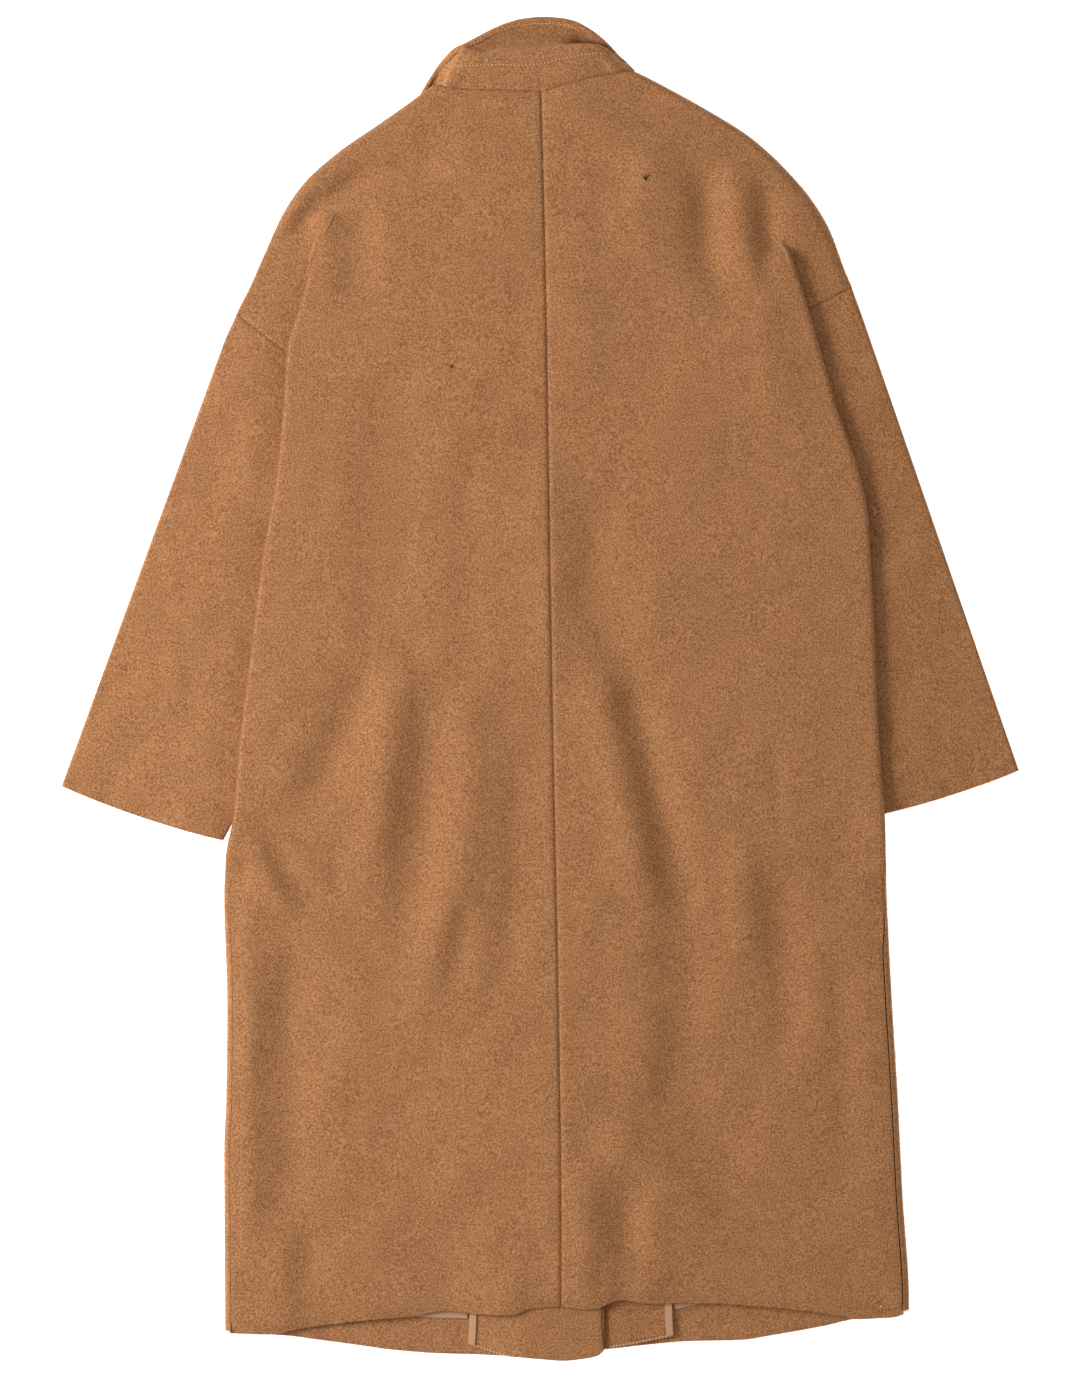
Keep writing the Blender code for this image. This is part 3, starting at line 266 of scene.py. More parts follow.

# Main creases of the back: name, start, end, sideways bow, half width, height.
# Each fades over a share of its length at either end.
Fold = namedtuple("Fold", "name x0 y0 x1 y1 bow width height")
FOLD_FADE = 0.3
FOLDS = (
    Fold("shoulder trough left", -0.235, 0.405, -0.150, 0.470, 0.000, 0.011, -0.0050),
    Fold("yoke trough left", -0.195, 0.450, -0.065, 0.478, 0.000, 0.013, -0.0050),
    Fold("tuck ridge left", -0.190, 0.445, -0.210, 0.330, 0.000, 0.014, 0.0035),
    Fold("trough beside tuck left", -0.160, 0.445, -0.165, 0.330, 0.000, 0.015, -0.0030),
    Fold("blade trough left", -0.130, 0.320, -0.145, 0.010, 0.000, 0.028, -0.0055),
    Fold("back trough left", -0.065, 0.230, -0.065, -0.010, 0.000, 0.020, -0.0020),
    Fold("seam ridge", 0.003, 0.230, 0.010, -0.020, 0.000, 0.022, 0.0035),
    Fold("underarm trough left", -0.145, 0.040, -0.215, -0.130, 0.000, 0.020, -0.0045),
    Fold("side ridge left", -0.125, 0.060, -0.155, -0.210, 0.000, 0.018, 0.0040),
    Fold("waist trough left", -0.100, 0.030, -0.130, -0.250, -0.010, 0.020, -0.0035),
    Fold("waist ridge left", -0.055, 0.040, -0.120, -0.340, -0.012, 0.021, 0.0035),
    Fold("inner trough left", -0.010, -0.040, -0.035, -0.300, 0.000, 0.017, -0.0028),
    Fold("short trough left", -0.065, -0.180, -0.085, -0.290, 0.000, 0.012, -0.0025),
    Fold("skirt ridge left", -0.170, -0.240, -0.170, -0.330, 0.000, 0.015, 0.0015),
    Fold("skirt trough left", -0.226, -0.160, -0.226, -0.530, 0.000, 0.022, -0.0045),
    Fold("cuff ridge left", -0.270, -0.120, -0.220, -0.220, 0.000, 0.009, 0.0025),
    Fold("cuff trough left", -0.250, -0.120, -0.200, -0.210, 0.000, 0.009, -0.0020),
    Fold("short nick left", -0.185, -0.130, -0.185, -0.200, 0.000, 0.008, -0.0012),
    Fold("side edge ridge left", -0.268, -0.160, -0.268, -0.580, 0.000, 0.016, 0.0020),
    Fold("hem ridge left", -0.235, -0.480, -0.235, -0.590, 0.000, 0.015, 0.0020),
    Fold("hem trough left", -0.205, -0.470, -0.205, -0.590, 0.000, 0.014, -0.0025),
    Fold("low seam ridge", 0.012, -0.300, 0.015, -0.530, 0.000, 0.035, 0.0030),
    Fold("hem trough centre", -0.002, -0.480, -0.005, -0.570, 0.000, 0.013, -0.0025),
    Fold("neck ridge right", 0.095, 0.510, 0.095, 0.370, 0.000, 0.025, 0.0035),
    Fold("ridge beside seam right", 0.030, 0.440, 0.030, 0.280, 0.000, 0.022, 0.0020),
    Fold("blade trough right", 0.142, 0.490, 0.155, 0.340, 0.000, 0.015, -0.0050),
    Fold("blade ridge right", 0.172, 0.485, 0.190, 0.350, 0.000, 0.015, 0.0050),
    Fold("tuck trough right", 0.200, 0.465, 0.208, 0.360, 0.000, 0.011, -0.0035),
    Fold("arm ridge right", 0.198, 0.380, 0.215, 0.220, 0.000, 0.025, 0.0025),
    Fold("back trough right", 0.048, 0.200, 0.055, 0.000, 0.000, 0.022, -0.0030),
    Fold("back ridge right", 0.100, 0.150, 0.105, -0.010, 0.000, 0.024, 0.0015),
    Fold("long ridge right", 0.035, 0.070, 0.100, -0.230, -0.005, 0.019, 0.0050),
    Fold("long trough right", 0.062, 0.060, 0.142, -0.270, -0.005, 0.019, -0.0055),
    Fold("skirt ridge right", 0.088, -0.210, 0.088, -0.390, 0.000, 0.022, 0.0025),
    Fold("skirt trough right", 0.132, -0.210, 0.130, -0.390, 0.000, 0.024, -0.0040),
    Fold("outer ridge right", 0.178, -0.110, 0.187, -0.260, 0.000, 0.016, 0.0035),
    Fold("outer trough right", 0.217, -0.150, 0.222, -0.350, 0.000, 0.020, -0.0040),
    Fold("side trough right", 0.270, -0.220, 0.272, -0.430, 0.000, 0.015, -0.0020),
    Fold("short nick right", 0.210, -0.030, 0.215, -0.150, 0.000, 0.007, -0.0010),
    Fold("low ridge right", 0.040, -0.385, 0.165, -0.480, 0.000, 0.020, 0.0040),
    Fold("low trough right", 0.085, -0.350, 0.200, -0.440, 0.000, 0.020, -0.0030),
    Fold("hem ridge right", 0.039, -0.410, 0.043, -0.570, 0.000, 0.014, 0.0030),
    Fold("hem trough right", 0.080, -0.430, 0.074, -0.570, 0.000, 0.014, -0.0040),
    Fold("hem ridge far right", 0.106, -0.440, 0.100, -0.570, 0.000, 0.015, 0.0020),
)

# Softer waves all over the cloth: wave length and height of each size of wave
WAVES = ((0.110, 0.0003), (0.060, 0.00016), (0.034, 0.00008))
WAVES_OF_A_SIZE, WAVE_STRETCH, WAVE_SEED = 7, (0.7, 1.4), 5

# The collar, a row for each section from the left front end round the neck to the right front end:
# neck seam, top of the stand, crest of the roll, foot of the roll, outer edge, each x, y, z
COLLAR = (
    ((0.0225, 0.4685, 0.0016), (0.0225, 0.493, 0.0016), (0.0225, 0.502, 0.0016),
     (0.0215, 0.512, 0.0016), (0.0185, 0.544, 0.0016)),
    ((-0.0324, 0.485, 0.0016), (-0.038, 0.506, 0.0016), (-0.04, 0.514, 0.0016),
     (-0.042, 0.522, 0.0016), (-0.052, 0.54, 0.0016)),
    ((-0.085, 0.529, 0.0018), (-0.0885, 0.5345, 0.0018), (-0.092, 0.537, 0.0018),
     (-0.096, 0.5375, 0.0018), (-0.1085, 0.534, 0.0018)),
    ((-0.094, 0.541, 0.0022), (-0.0935, 0.548, 0.0023), (-0.0935, 0.552, 0.0023),
     (-0.0945, 0.555, 0.0022), (-0.0965, 0.5545, 0.0019)),
    ((-0.094, 0.5445, 0.004), (-0.088, 0.5575, 0.0044), (-0.084, 0.564, 0.0044),
     (-0.0838, 0.567, 0.004), (-0.086, 0.568, 0.003)),
    ((-0.0895, 0.5392, 0.0076), (-0.0812, 0.5605, 0.009), (-0.0752, 0.569, 0.009),
     (-0.0735, 0.573, 0.007), (-0.0765, 0.5765, 0.0042)),
    ((-0.087, 0.5402, 0.0122), (-0.0775, 0.56, 0.0136), (-0.07, 0.573, 0.013),
     (-0.068, 0.5775, 0.009), (-0.0675, 0.5805, 0.0042)),
    ((-0.08, 0.5408, 0.016), (-0.0655, 0.5593, 0.0164), (-0.0605, 0.5715, 0.0146),
     (-0.0585, 0.5745, 0.009), (-0.056, 0.5868, 0.004)),
    ((-0.064, 0.5398, 0.017), (-0.0531, 0.5599, 0.0174), (-0.0495, 0.5695, 0.0152),
     (-0.049, 0.5735, 0.0086), (-0.045, 0.5926, 0.0034)),
    ((-0.042, 0.539, 0.0174), (-0.0369, 0.5603, 0.0178), (-0.036, 0.57, 0.0158),
     (-0.036, 0.579, 0.006), (-0.0324, 0.5982, 0.003)),
    ((-0.019, 0.5383, 0.0174), (-0.018, 0.5596, 0.018), (-0.018, 0.5712, 0.016),
     (-0.018, 0.5815, 0.0056), (-0.0162, 0.6027, 0.003)),
    ((0, 0.5375, 0.0174), (0, 0.5612, 0.018), (0, 0.572, 0.016),
     (0, 0.5825, 0.0054), (0.001, 0.6043, 0.003)),
    ((0.0171, 0.541, 0.0174), (0.0153, 0.5648, 0.018), (0.0153, 0.5745, 0.016),
     (0.0153, 0.5835, 0.0048), (0.0171, 0.6034, 0.003)),
    ((0.0333, 0.546, 0.0174), (0.0288, 0.5679, 0.0176), (0.0279, 0.5765, 0.0156),
     (0.0288, 0.5815, 0.003), (0.0297, 0.6007, 0.0042)),
    ((0.0495, 0.55, 0.017), (0.0405, 0.5697, 0.017), (0.0378, 0.5783, 0.015),
     (0.0378, 0.58, 0.0018), (0.0414, 0.5949, 0.006)),
    ((0.0621, 0.5527, 0.016), (0.0504, 0.571, 0.0158), (0.0477, 0.5783, 0.014),
     (0.0477, 0.5795, 0.0018), (0.0531, 0.5868, 0.0066)),
    ((0.072, 0.554, 0.014), (0.0594, 0.5702, 0.0136), (0.0565, 0.5755, 0.0124),
     (0.057, 0.5768, 0.0036), (0.063, 0.5775, 0.0056)),
    ((0.08, 0.555, 0.009), (0.069, 0.5645, 0.009), (0.0645, 0.57, 0.0086),
     (0.0645, 0.5708, 0.0045), (0.07, 0.569, 0.0034)),
    ((0.0835, 0.556, 0.0045), (0.0755, 0.5625, 0.0046), (0.072, 0.5655, 0.0044),
     (0.072, 0.5665, 0.004), (0.077, 0.5625, 0.003)),
    ((0.084, 0.5545, 0.0024), (0.0765, 0.559, 0.0024), (0.074, 0.561, 0.0024),
     (0.0745, 0.5615, 0.0022), (0.083, 0.555, 0.0019)),
    ((0.0725, 0.5385, 0.0018), (0.069, 0.545, 0.0018), (0.068, 0.548, 0.0018),
     (0.069, 0.55, 0.0018), (0.08, 0.548, 0.0018)),
    ((0.0513, 0.494, 0.0016), (0.049, 0.516, 0.0016), (0.048, 0.525, 0.0016),
     (0.048, 0.532, 0.0016), (0.045, 0.55, 0.0016)),
    ((0.0297, 0.4685, 0.0016), (0.0297, 0.493, 0.0016), (0.0297, 0.502, 0.0016),
     (0.029, 0.512, 0.0016), (0.0257, 0.544, 0.0016)),
)
SEWN_FROM, SEWN_TO, SEWN_EASE = 5, 17, 1.5
COLLAR_ROW_STEPS = 8
FALL_STEPS, FALL_CROWD, STAND_SWELL = 34, 1.15, 0.0007
BAND_WIDTH, BAND_SWELL = 0.0063, 0.0022
STITCH_DIP, STITCH_DIP_WIDTH, EDGE_DIP_WIDTH = 0.0007, 0.0016, 0.0010
# Painted shade on the collar: strength in the hollow behind the roll, sections between which it lies,
# strength on the far side
HOLLOW_SHADE, HOLLOW_FROM, HOLLOW_TO, FAR_SHADE = 1.25, 12.2, 16.8, 0.20

# Stitches, each kind with its pitch, length and radius, and where they run
STITCH = (0.0034, 0.0036, 0.00060)
FACING_STITCH = (0.0030, 0.0038, 0.0012)
SEWN_INSET, SEWN_LIFT = 0.0004, 0.0003
STITCHED_FROM, STITCHED_TO = 5.6, 16.2
EDGE_STITCHED_FROM, EDGE_STITCHED_TO = 6.3, 13.6
LEFT_FACING_SEWN, RIGHT_FACING_SEWN = (-0.0650, -0.0225), (0.0600, 0.1185)
SQUARE = ((1, 0, 0), (0, 0, 1), (-1, 0, 0), (0, 0, -1))

# Nap: length of the fibres, half their width, how many stand on a square metre and on a metre of edge,
# the collar's sections between which its edge has them, and their heights along the other edges
FIBRE_LENGTH, FIBRE_WIDTH = (0.0015, 0.0036), 0.00011
FIBRES_ON_CLOTH, FIBRES_ON_EDGE, FIBRES_ON_TUCK = 20000, 2600, 1500
NAP_FLOOR = 0.0045
RIM_FROM, RIM_TO = 2, 19
SHOULDER_FRINGE, TUCK_FRINGE = CAP_EDGE_HEIGHT + 0.0008, CAP_HEIGHT + 0.0065
SIDE_FRINGE, HEM_FRINGE = 0.0050, 0.0024
SIDE_FRINGE_FROM, TUCK_FRINGE_BELOW, TUCK_FRINGE_TO = -0.170, 0.030, -0.130
EDGE_SPOTS, HEM_SPOTS = 60, 80

# Loose threads on the coat's right edge, each a few places x, y, z, and specks of lint: x, y, z, radius
THREADS = (
    ((0.2965, 0.164, 0.0165), (0.2995, 0.1615, 0.0175), (0.301, 0.158, 0.016), (0.299, 0.1555, 0.015)),
    ((0.306, -0.076, 0.016), (0.3085, -0.0785, 0.015), (0.311, -0.0775, 0.014), (0.3125, -0.0755, 0.0135)),
    ((0.3065, -0.084, 0.014), (0.3085, -0.093, 0.013), (0.3082, -0.101, 0.012), (0.3095, -0.106, 0.011)),
    ((0.3092, -0.156, 0.011), (0.31, -0.175, 0.0105), (0.3106, -0.195, 0.0105), (0.3098, -0.217, 0.0105)),
    ((0.305, -0.2225, 0.0125), (0.307, -0.2205, 0.0135), (0.309, -0.2195, 0.013), (0.311, -0.219, 0.0115)),
)
THREAD_RADIUS = 0.00022
LINT = (
    (0.3060, -0.5560, 0.0105, 0.0011), (-0.2649, -0.2102, 0.0105, 0.0008), (-0.0486, 0.5640, 0.0190, 0.0008),
    (0.0560, 0.5150, 0.0172, 0.0006), (-0.1890, -0.0420, 0.0175, 0.0006),
)
LINT_COLOUR = (0.780, 0.640, 0.480, 1.0)

# Wool colours, linear
WOOL_DARK = (0.262, 0.096, 0.028, 1.0)
WOOL_MID = (0.380, 0.167, 0.063, 1.0)
WOOL_LIGHT = (0.520, 0.251, 0.112, 1.0)
GRAIN_LOW, GRAIN_HIGH = 0.375, 0.625
# Dark of the seams, also the colour of painted shade
SEAM_AND_PAINTED_SHADE_COLOUR = (0.100, 0.040, 0.014, 1.0)
TAPE_COLOUR = (0.560, 0.320, 0.180, 1.0)
TAPE_SHADE = (0.470, 0.255, 0.135, 1.0)
THREAD_COLOUR = (0.660, 0.380, 0.180, 1.0)
# Painted shade within the holes
HOLE_SHADE_COLOUR = (0.020, 0.010, 0.006, 1.0)

# Worn holes in the back, painted dark for the shade within them: x, y, radius, darkness
HOLES = (
    (0.0942, 0.4583, 0.0030, 1.0), (0.0962, 0.4602, 0.0018, 0.8), (-0.0801, 0.2894, 0.0022, 0.95),
    (-0.0698, 0.2950, 0.0013, 0.4), (0.0675, 0.1175, 0.0016, 0.5),
)


def ease(share):
    """Smooth step from 0 to 1."""
    share = np.clip(share, 0.0, 1.0)
    return share * share * (3 - 2 * share)


def blend(first, second, share):
    """Straight mix of two numbers or arrays."""
    return first + (second - first) * share


def bell(distance, width):
    """1 at no distance, falling softly to 0."""
    return np.exp(-((distance / width) ** 2))


def runs_along(points):
    """Distance of each point from the first, along the line through them."""
    return np.concatenate([[0.0], np.cumsum(np.linalg.norm(np.diff(points, axis=0), axis=1))])


def curve(table, column=1):
    """Smooth function through a table's column, with no overshoot between its rows."""
    rows = sorted(table, key=lambda row: row[0])
    keys = np.array([row[0] for row in rows], float)
    values = np.array([row[column] for row in rows], float)
    chords = np.diff(values) / np.diff(keys)
    slopes = np.empty(len(keys))
    slopes[0], slopes[-1] = chords[0], chords[-1]
    for i in range(1, len(keys) - 1):
        before, after = chords[i - 1], chords[i]
        slopes[i] = 0.0 if before * after <= 0 else 2 * before * after / (before + after)

    def at(key):
        key = np.clip(key, keys[0], keys[-1])
        i = np.clip(np.searchsorted(keys, key, side="right") - 1, 0, len(keys) - 2)
        span = keys[i + 1] - keys[i]
        t = (key - keys[i]) / span
        rise = values[i] * (1 + 2 * t) * (1 - t) ** 2 + values[i + 1] * t * t * (3 - 2 * t)
        return rise + span * (slopes[i] * t * (1 - t) ** 2 - slopes[i + 1] * t * t * (1 - t))

    return at


centre_back = curve(CENTRE_BACK)
neck_rise = curve(NECK_RISE)
front_neck = curve(FRONT_NECK)
back_hem = curve(BACK_HEM)
centre_height = curve(BACK_HEIGHTS, 1)
middle_height = curve(BACK_HEIGHTS, 2)


class Half:
    """One side of the coat, its tables read as curves."""

    def __init__(self, side, front_hem, facing_hem, front_edge, facing_end, tape_start, allowance):
        self.side = side
        self.name, self.hand = side.name, side.hand
        self.edge, self.outline = curve(side.edge), curve(side.outline)
        self.armhole, self.inner = curve(side.armhole), curve(side.inner)
        self.front_hem, self.facing_hem = curve(front_hem), curve(facing_hem)
        self.front_edge, self.facing_end = front_edge, facing_end
        self.tape_start, self.allowance = tape_start, allowance
        # Painted shade on the left edges only
        self.painted_edge_shade = EDGE_SHADE if self.hand < 0 else 0.0
        self.bends = [curve(side.turns, column) for column in range(1, 7)]
        self.levels = self.row_levels()

    def closing(self, level):
        """X of the front edge, which leans a little near the hem."""
        lean = CLOSING_LEAN * float(ease((level - HEM_LEVEL) / CLOSING_LEAN_RUN))
        return self.front_edge + self.hand * lean

    def hem_depth(self, x):
        """Depth of the turned-up hem."""
        rise = RIGHT_TAPE_RISE if self.hand > 0 else 0.0
        return self.allowance + rise * ease((x - self.tape_start) / TAPE_RISE_RUN)

    def turn(self, level):
        """The turn of the cloth at a level."""
        return Turn(level, *[float(bend(level)) for bend in self.bends])

    def row_levels(self):
        """Levels of the rows: the named ones, and even ones between."""
        side = self.side
        named = [HEM_ZONE_START, HEM_ZONE_END, side.corner]
        named += [side.crossing, side.crossing + ROW_BY_THE_CROSSING]
        named += [NECK_LEVEL - below for below in ROWS_BY_THE_NECK]
        named += [HEM_LEVEL + above for above in ROWS_BY_THE_HEM]
        named += [turn.level for turn in side.turns]
        named = sorted(set(named), reverse=True)
        result = []
        for upper, lower in zip(named, named[1:]):
            count = max(1, math.ceil((upper - lower) / ROW_STEP))
            result += [blend(upper, lower, i / count) for i in range(count)]
        return result + [named[-1]]


LEFT = Half(
    LEFT_SIDE, LEFT_FRONT_HEM, LEFT_FACING_HEM, LEFT_FRONT_EDGE, LEFT_FACING_END, LEFT_TAPE_START,
    LEFT_HEM_ALLOWANCE,
)
RIGHT = Half(
    RIGHT_SIDE, RIGHT_FRONT_HEM, RIGHT_FACING_HEM, RIGHT_FRONT_EDGE, RIGHT_FACING_END, RIGHT_TAPE_START,
    RIGHT_HEM_ALLOWANCE,
)


def hem_zone(level):
    """0 above the turned-up hem, 1 along it."""
    return ease((HEM_ZONE_START - level) / (HEM_ZONE_START - HEM_ZONE_END))


def row_y(x, level, hem):
    """Y of points of a body panel: the level bent to the neck seam above and the hem below."""
    neck = ease((level - NECK_LEVEL + NECK_FADE) / NECK_FADE) * neck_rise(x)
    foot = ease((HEM_LEVEL + HEM_FADE - level) / HEM_FADE) * (hem(x) - HEM_LEVEL)
    return level + neck + foot


def fold_height(x, y):
    """Sum of the soft ridges and troughs at places on the back."""
    total = np.zeros_like(x)
    for fold in FOLDS:
        run_x, run_y = fold.x1 - fold.x0, fold.y1 - fold.y0
        length = math.hypot(run_x, run_y)
        along = ((x - fold.x0) * run_x + (y - fold.y0) * run_y) / length ** 2
        across = ((x - fold.x0) * run_y - (y - fold.y0) * run_x) / length
        across = across - fold.bow * 4 * along * (1 - along)
        fade = ease(along / FOLD_FADE) * ease((1 - along) / FOLD_FADE)
        total += fold.height * fade * bell(across, fold.width)
    return total


def wave_table():
    """Direction, phase and height of each small wave of the cloth."""
    draws = np.random.default_rng(WAVE_SEED)
    waves = []
    for length, height in WAVES:
        for _ in range(WAVES_OF_A_SIZE):
            angle = draws.uniform(0, math.pi)
            phase = draws.uniform(0, 2 * math.pi)
            rate = 2 * math.pi / (length * draws.uniform(*WAVE_STRETCH))
            share = height / math.sqrt(WAVES_OF_A_SIZE)
            waves.append((rate * math.cos(angle), rate * math.sin(angle), phase, share))
    return waves


WAVE_TABLE = wave_table()


def wave_height(x, y):
    """Small uneven waves of soft cloth."""
    total = np.zeros_like(x)
    for rate_x, rate_y, phase, height in WAVE_TABLE:
        total = total + height * 2 * np.sin(rate_x * x + rate_y * y + phase)
    return total


def groove(distance):
    """Dip of the cloth towards a seam."""
    return GROOVE_DEPTH * bell(distance, GROOVE_WIDTH)


def seam_line(distance):
    """1 on a seam, 0 away from it."""
    return bell(distance, SEAM_LINE)


def tuck_dip(beyond):
    """Dip of the cloth under the body's edge, beside it."""
    return TUCK_DIP * bell(beyond, TUCK_DIP_WIDTH)


def front_height(half, x, level):
    """Middle of a front panel: flat on the floor, the left one lifted where it laps the right."""
    if half.hand > 0:
        return FLOOR_CLOTH + 0 * x
    lap = ease((x - LAP_START) / (LAP_END - LAP_START))
    return FLOOR_CLOTH + lap * (LAYER * (2 + hem_zone(level)) + LAP_EASE)


def facing_height(half, x, level):
    """Middle of a facing, on its front and over the turned-up hem."""
    height = front_height(half, x, level) + LAYER * (1 + hem_zone(level))
    if half.hand < 0:
        return height
    past = x - LEFT_FRONT_EDGE
    swell = ease((past - LAP_SWELL_FROM) / LAP_SWELL_RISE) * ease((LAP_SWELL_TO - past) / LAP_SWELL_FADE)
    return height + LAP_SWELL * hem_zone(level) * swell


def least_height(half, x, level):
    """Lowest place for the back's middle, over whatever lies under it."""
    margin, slope = LEAST_MARGIN, LEAST_SLOPE
    floor = FLOOR_CLOTH + 2 * LAYER * hem_zone(level)
    over = np.full_like(x, floor)
    for front, low, high, extra in (
        (RIGHT, RIGHT_FRONT_EDGE, RIGHT_FRONT_EDGE + FACING_WIDTH, LAYER),
        (LEFT, LEFT_FRONT_EDGE - FACING_WIDTH, LEFT_FRONT_EDGE, 0.0),
    ):
        share = ease((x - low + margin + slope) / slope) * ease((high + margin + slope - x) / slope)
        over = np.maximum(over, blend(floor, facing_height(front, x, level) + extra, share))
    turns = half.side.turns
    folded = ease((level - turns[7].level) / STACK_RUN)
    folded = folded * ease((turns[2].level + STACK_ABOVE - level) / STACK_RUN)
    inside = half.hand * (x - half.inner(level)) + STACK_MARGIN
    stack = CAP_HEIGHT + 2 * turns[2].inner
    over = np.maximum(over, blend(floor, stack, folded * ease((inside + slope) / slope)))
    return over + LAYER + LEAST_CLEAR


def lifted(height, least):
    """A height that softly stays over the least one."""
    return least + LEAST_GIVE * np.log1p(np.exp(np.minimum(60.0, (height - least) / LEAST_GIVE)))


def base_height(x, level):
    """Middle of the back with no folds in it."""
    fall = blend(CENTRE_FALL, HEM_CENTRE_FALL, float(ease((HEM_FALL_FROM - level) / HEM_FALL_RUN)))
    centre = ease((x - CENTRE_FROM + fall) / fall) * ease((CENTRE_TO + fall - x) / fall)
    return blend(middle_height(level), centre_height(level), centre)


def body_height(half, x, y, level):
    """Middle of the back away from its edges."""
    height = base_height(x, level) + fold_height(x, y) + wave_height(x, y)
    return lifted(height, least_height(half, x, level))


def shoulder_height(half, x, level):
    """Middle of the back over the shoulder, one smooth surface from the body out to the shoulder's edge."""
    y = row_y(x, level, back_hem)
    beyond = half.hand * (x - half.edge(level))
    share = ease((level - half.side.pleat) / (NECK_LEVEL - half.side.pleat))
    top = blend(SHOULDER_FOLD_HEIGHT, NECK_FOLD_HEIGHT, share) - SHOULDER_FALL * ease(beyond / CAP_FALL_WIDTH)
    inside = half.hand * (half.outline(level) - x)
    folds = (fold_height(x, y) + wave_height(x, y)) * ease(inside / SHOULDER_FOLD_FADE)
    height = blend(base_height(x, level), top, ease((beyond + SHOULDER_BLEND) / SHOULDER_BLEND)) + folds
    return lifted(height, UNDERCAP_HEIGHT)


def arc(radius, angle, whole, least):
    """Run and drop along an arc, which is at least a given length however little it turns."""
    if whole * radius < least:
        if whole < LEAST_ANGLE:
            return least * angle, 0.0
        radius = least / whole
    return radius * math.sin(angle * whole), radius * (1 - math.cos(angle * whole))


def tail(x, z, hand, rise, turn, radius, straight, heading, inner, least):
    """Points of cloth that turns over an edge, runs back and turns again, from a flat start."""
    points = []
    turn, heading = math.radians(turn), math.radians(heading)
    for i in range(1, TURN_STEPS + 1):
        run, drop = arc(radius, i / TURN_STEPS, turn, least)
        points.append((x + hand * run, z + rise * drop))
    base_x, base_z = points[-1]
    for i in range(1, PLEAT_STEPS + 1):
        run = straight * i / PLEAT_STEPS
        points.append((base_x + hand * run * math.cos(turn), base_z + rise * run * math.sin(turn)))
    base_x, base_z = points[-1]
    back = turn - heading
    if back * inner < least:
        inner = least / back if back > LEAST_ANGLE else 0.0
    for i in range(1, TURN_STEPS + 1):
        angle = blend(turn, heading, i / TURN_STEPS)
        run = inner * (math.sin(turn) - math.sin(angle)) if inner else least * i / TURN_STEPS
        drop = inner * (math.cos(angle) - math.cos(turn))
        points.append((base_x + hand * run, base_z + rise * drop))
    return points


def side_section(half, level, front):
    """Start, height and tail of a panel's section at a side."""
    hand, side = half.hand, half.side
    bend = half.turn(level)
    edge = float(half.edge(level))
    joined = level < side.underarm
    start = edge - hand * (bend.radius + CLOTH / 2)
    closing = float(ease((side.turns[5].level - level) / (side.turns[5].level - side.turns[7].level)))
    front_start = edge - hand * (bend.front_radius + CLOTH / 2 + FRONT_INSET * (1 - closing))
    if level > side.pleat:
        share = float(ease((level - side.pleat) / (NECK_LEVEL - side.pleat)))
        flat = blend(SHOULDER_FOLD_HEIGHT, NECK_FOLD_HEIGHT, share)
        if front:
            return front_start, flat, []
        return start, float(shoulder_height(half, np.array(start), level)), []
    depth = float(ease((bend.turn - PLEAT_OPEN) / (180 - PLEAT_OPEN)))
    reach = abs(float(half.inner(level)) - start) - bend.inner
    front_reach = abs(float(half.inner(level)) - front_start) - bend.inner
    back_run, front_run = max(0.0, reach) * depth, max(0.0, front_reach) * depth
    front_heading = 180 - bend.heading if joined else 0
    least = 0.0 if joined else PLEAT_LEAST
    under = tail(
        front_start, FLOOR_CLOTH, hand, 1, bend.front_turn, bend.front_radius, front_run, front_heading,
        bend.inner, least,
    )
    if front:
        return front_start, FLOOR_CLOTH, under
    over = tail(start, 0.0, hand, -1, bend.turn, bend.radius, back_run, bend.heading, bend.inner, least)
    if joined:
        heading = math.radians(bend.heading)
        height = under[-1][1] - over[-1][1] + side.side_gap * math.sin(heading)
        if level > side.underarm - UNDERARM_RUN:
            height = CAP_HEIGHT + 2 * (side.turns[3].radius + side.turns[3].inner)
        start -= hand * side.side_gap * math.cos(heading)
    else:
        share = float(ease((side.pleat - level) / side.pleat_run))
        height = blend(float(shoulder_height(half, np.array(start), level)), CAP_HEIGHT, share) - over[-1][1]
    over = tail(start, height, hand, -1, bend.turn, bend.radius, back_run, bend.heading, bend.inner, least)
    return start, height, over


def cap_columns(half, level, start, front):
    """X and height of the shoulder cap, from the pleat to the shoulder seam or the armhole seam."""
    hand, side = half.hand, half.side
    shares = UNDERCAP_SHARES if front else CAP_SHARES
    x, z = start
    if level < side.underarm:
        return np.full(len(shares), x), np.full(len(shares), z)
    outline = float(half.outline(level))
    shoulder = level >= side.corner
    end = outline - hand * CLOTH / 2 if shoulder else float(half.armhole(level))
    cap_x = blend(x, end, shares)
    beyond = hand * (cap_x - half.edge(level))
    if front:
        fall = ease(beyond / UNDERCAP_FALL_WIDTH) if level < side.pleat else shares
        return cap_x, blend(z, UNDERCAP_EDGE_HEIGHT, fall)
    inside = np.maximum(0.0, hand * (outline - cap_x) - CLOTH / 2)
    top = CAP_HEIGHT - CAP_FALL * ease(beyond / CAP_FALL_WIDTH) - tuck_dip(beyond)
    smooth = shoulder_height(half, np.append(x, cap_x), level)
    top = blend(smooth[1:] + z - smooth[0], top, ease((side.pleat - level) / side.pleat_run))
    rounding = np.sqrt(np.maximum(0.0, 1 - np.maximum(0.0, 1 - inside / CAP_EDGE_ROUND) ** 2))
    lift = NECK_CORNER_LIFT * ease((level - NECK_LEVEL) / NECK_CORNER_RUN + 1)
    cap_z = blend(CAP_EDGE_HEIGHT + lift, top, rounding)
    if not shoulder:
        cap_z = cap_z - groove(np.abs(cap_x - end) * SLANT)
    return cap_x, cap_z


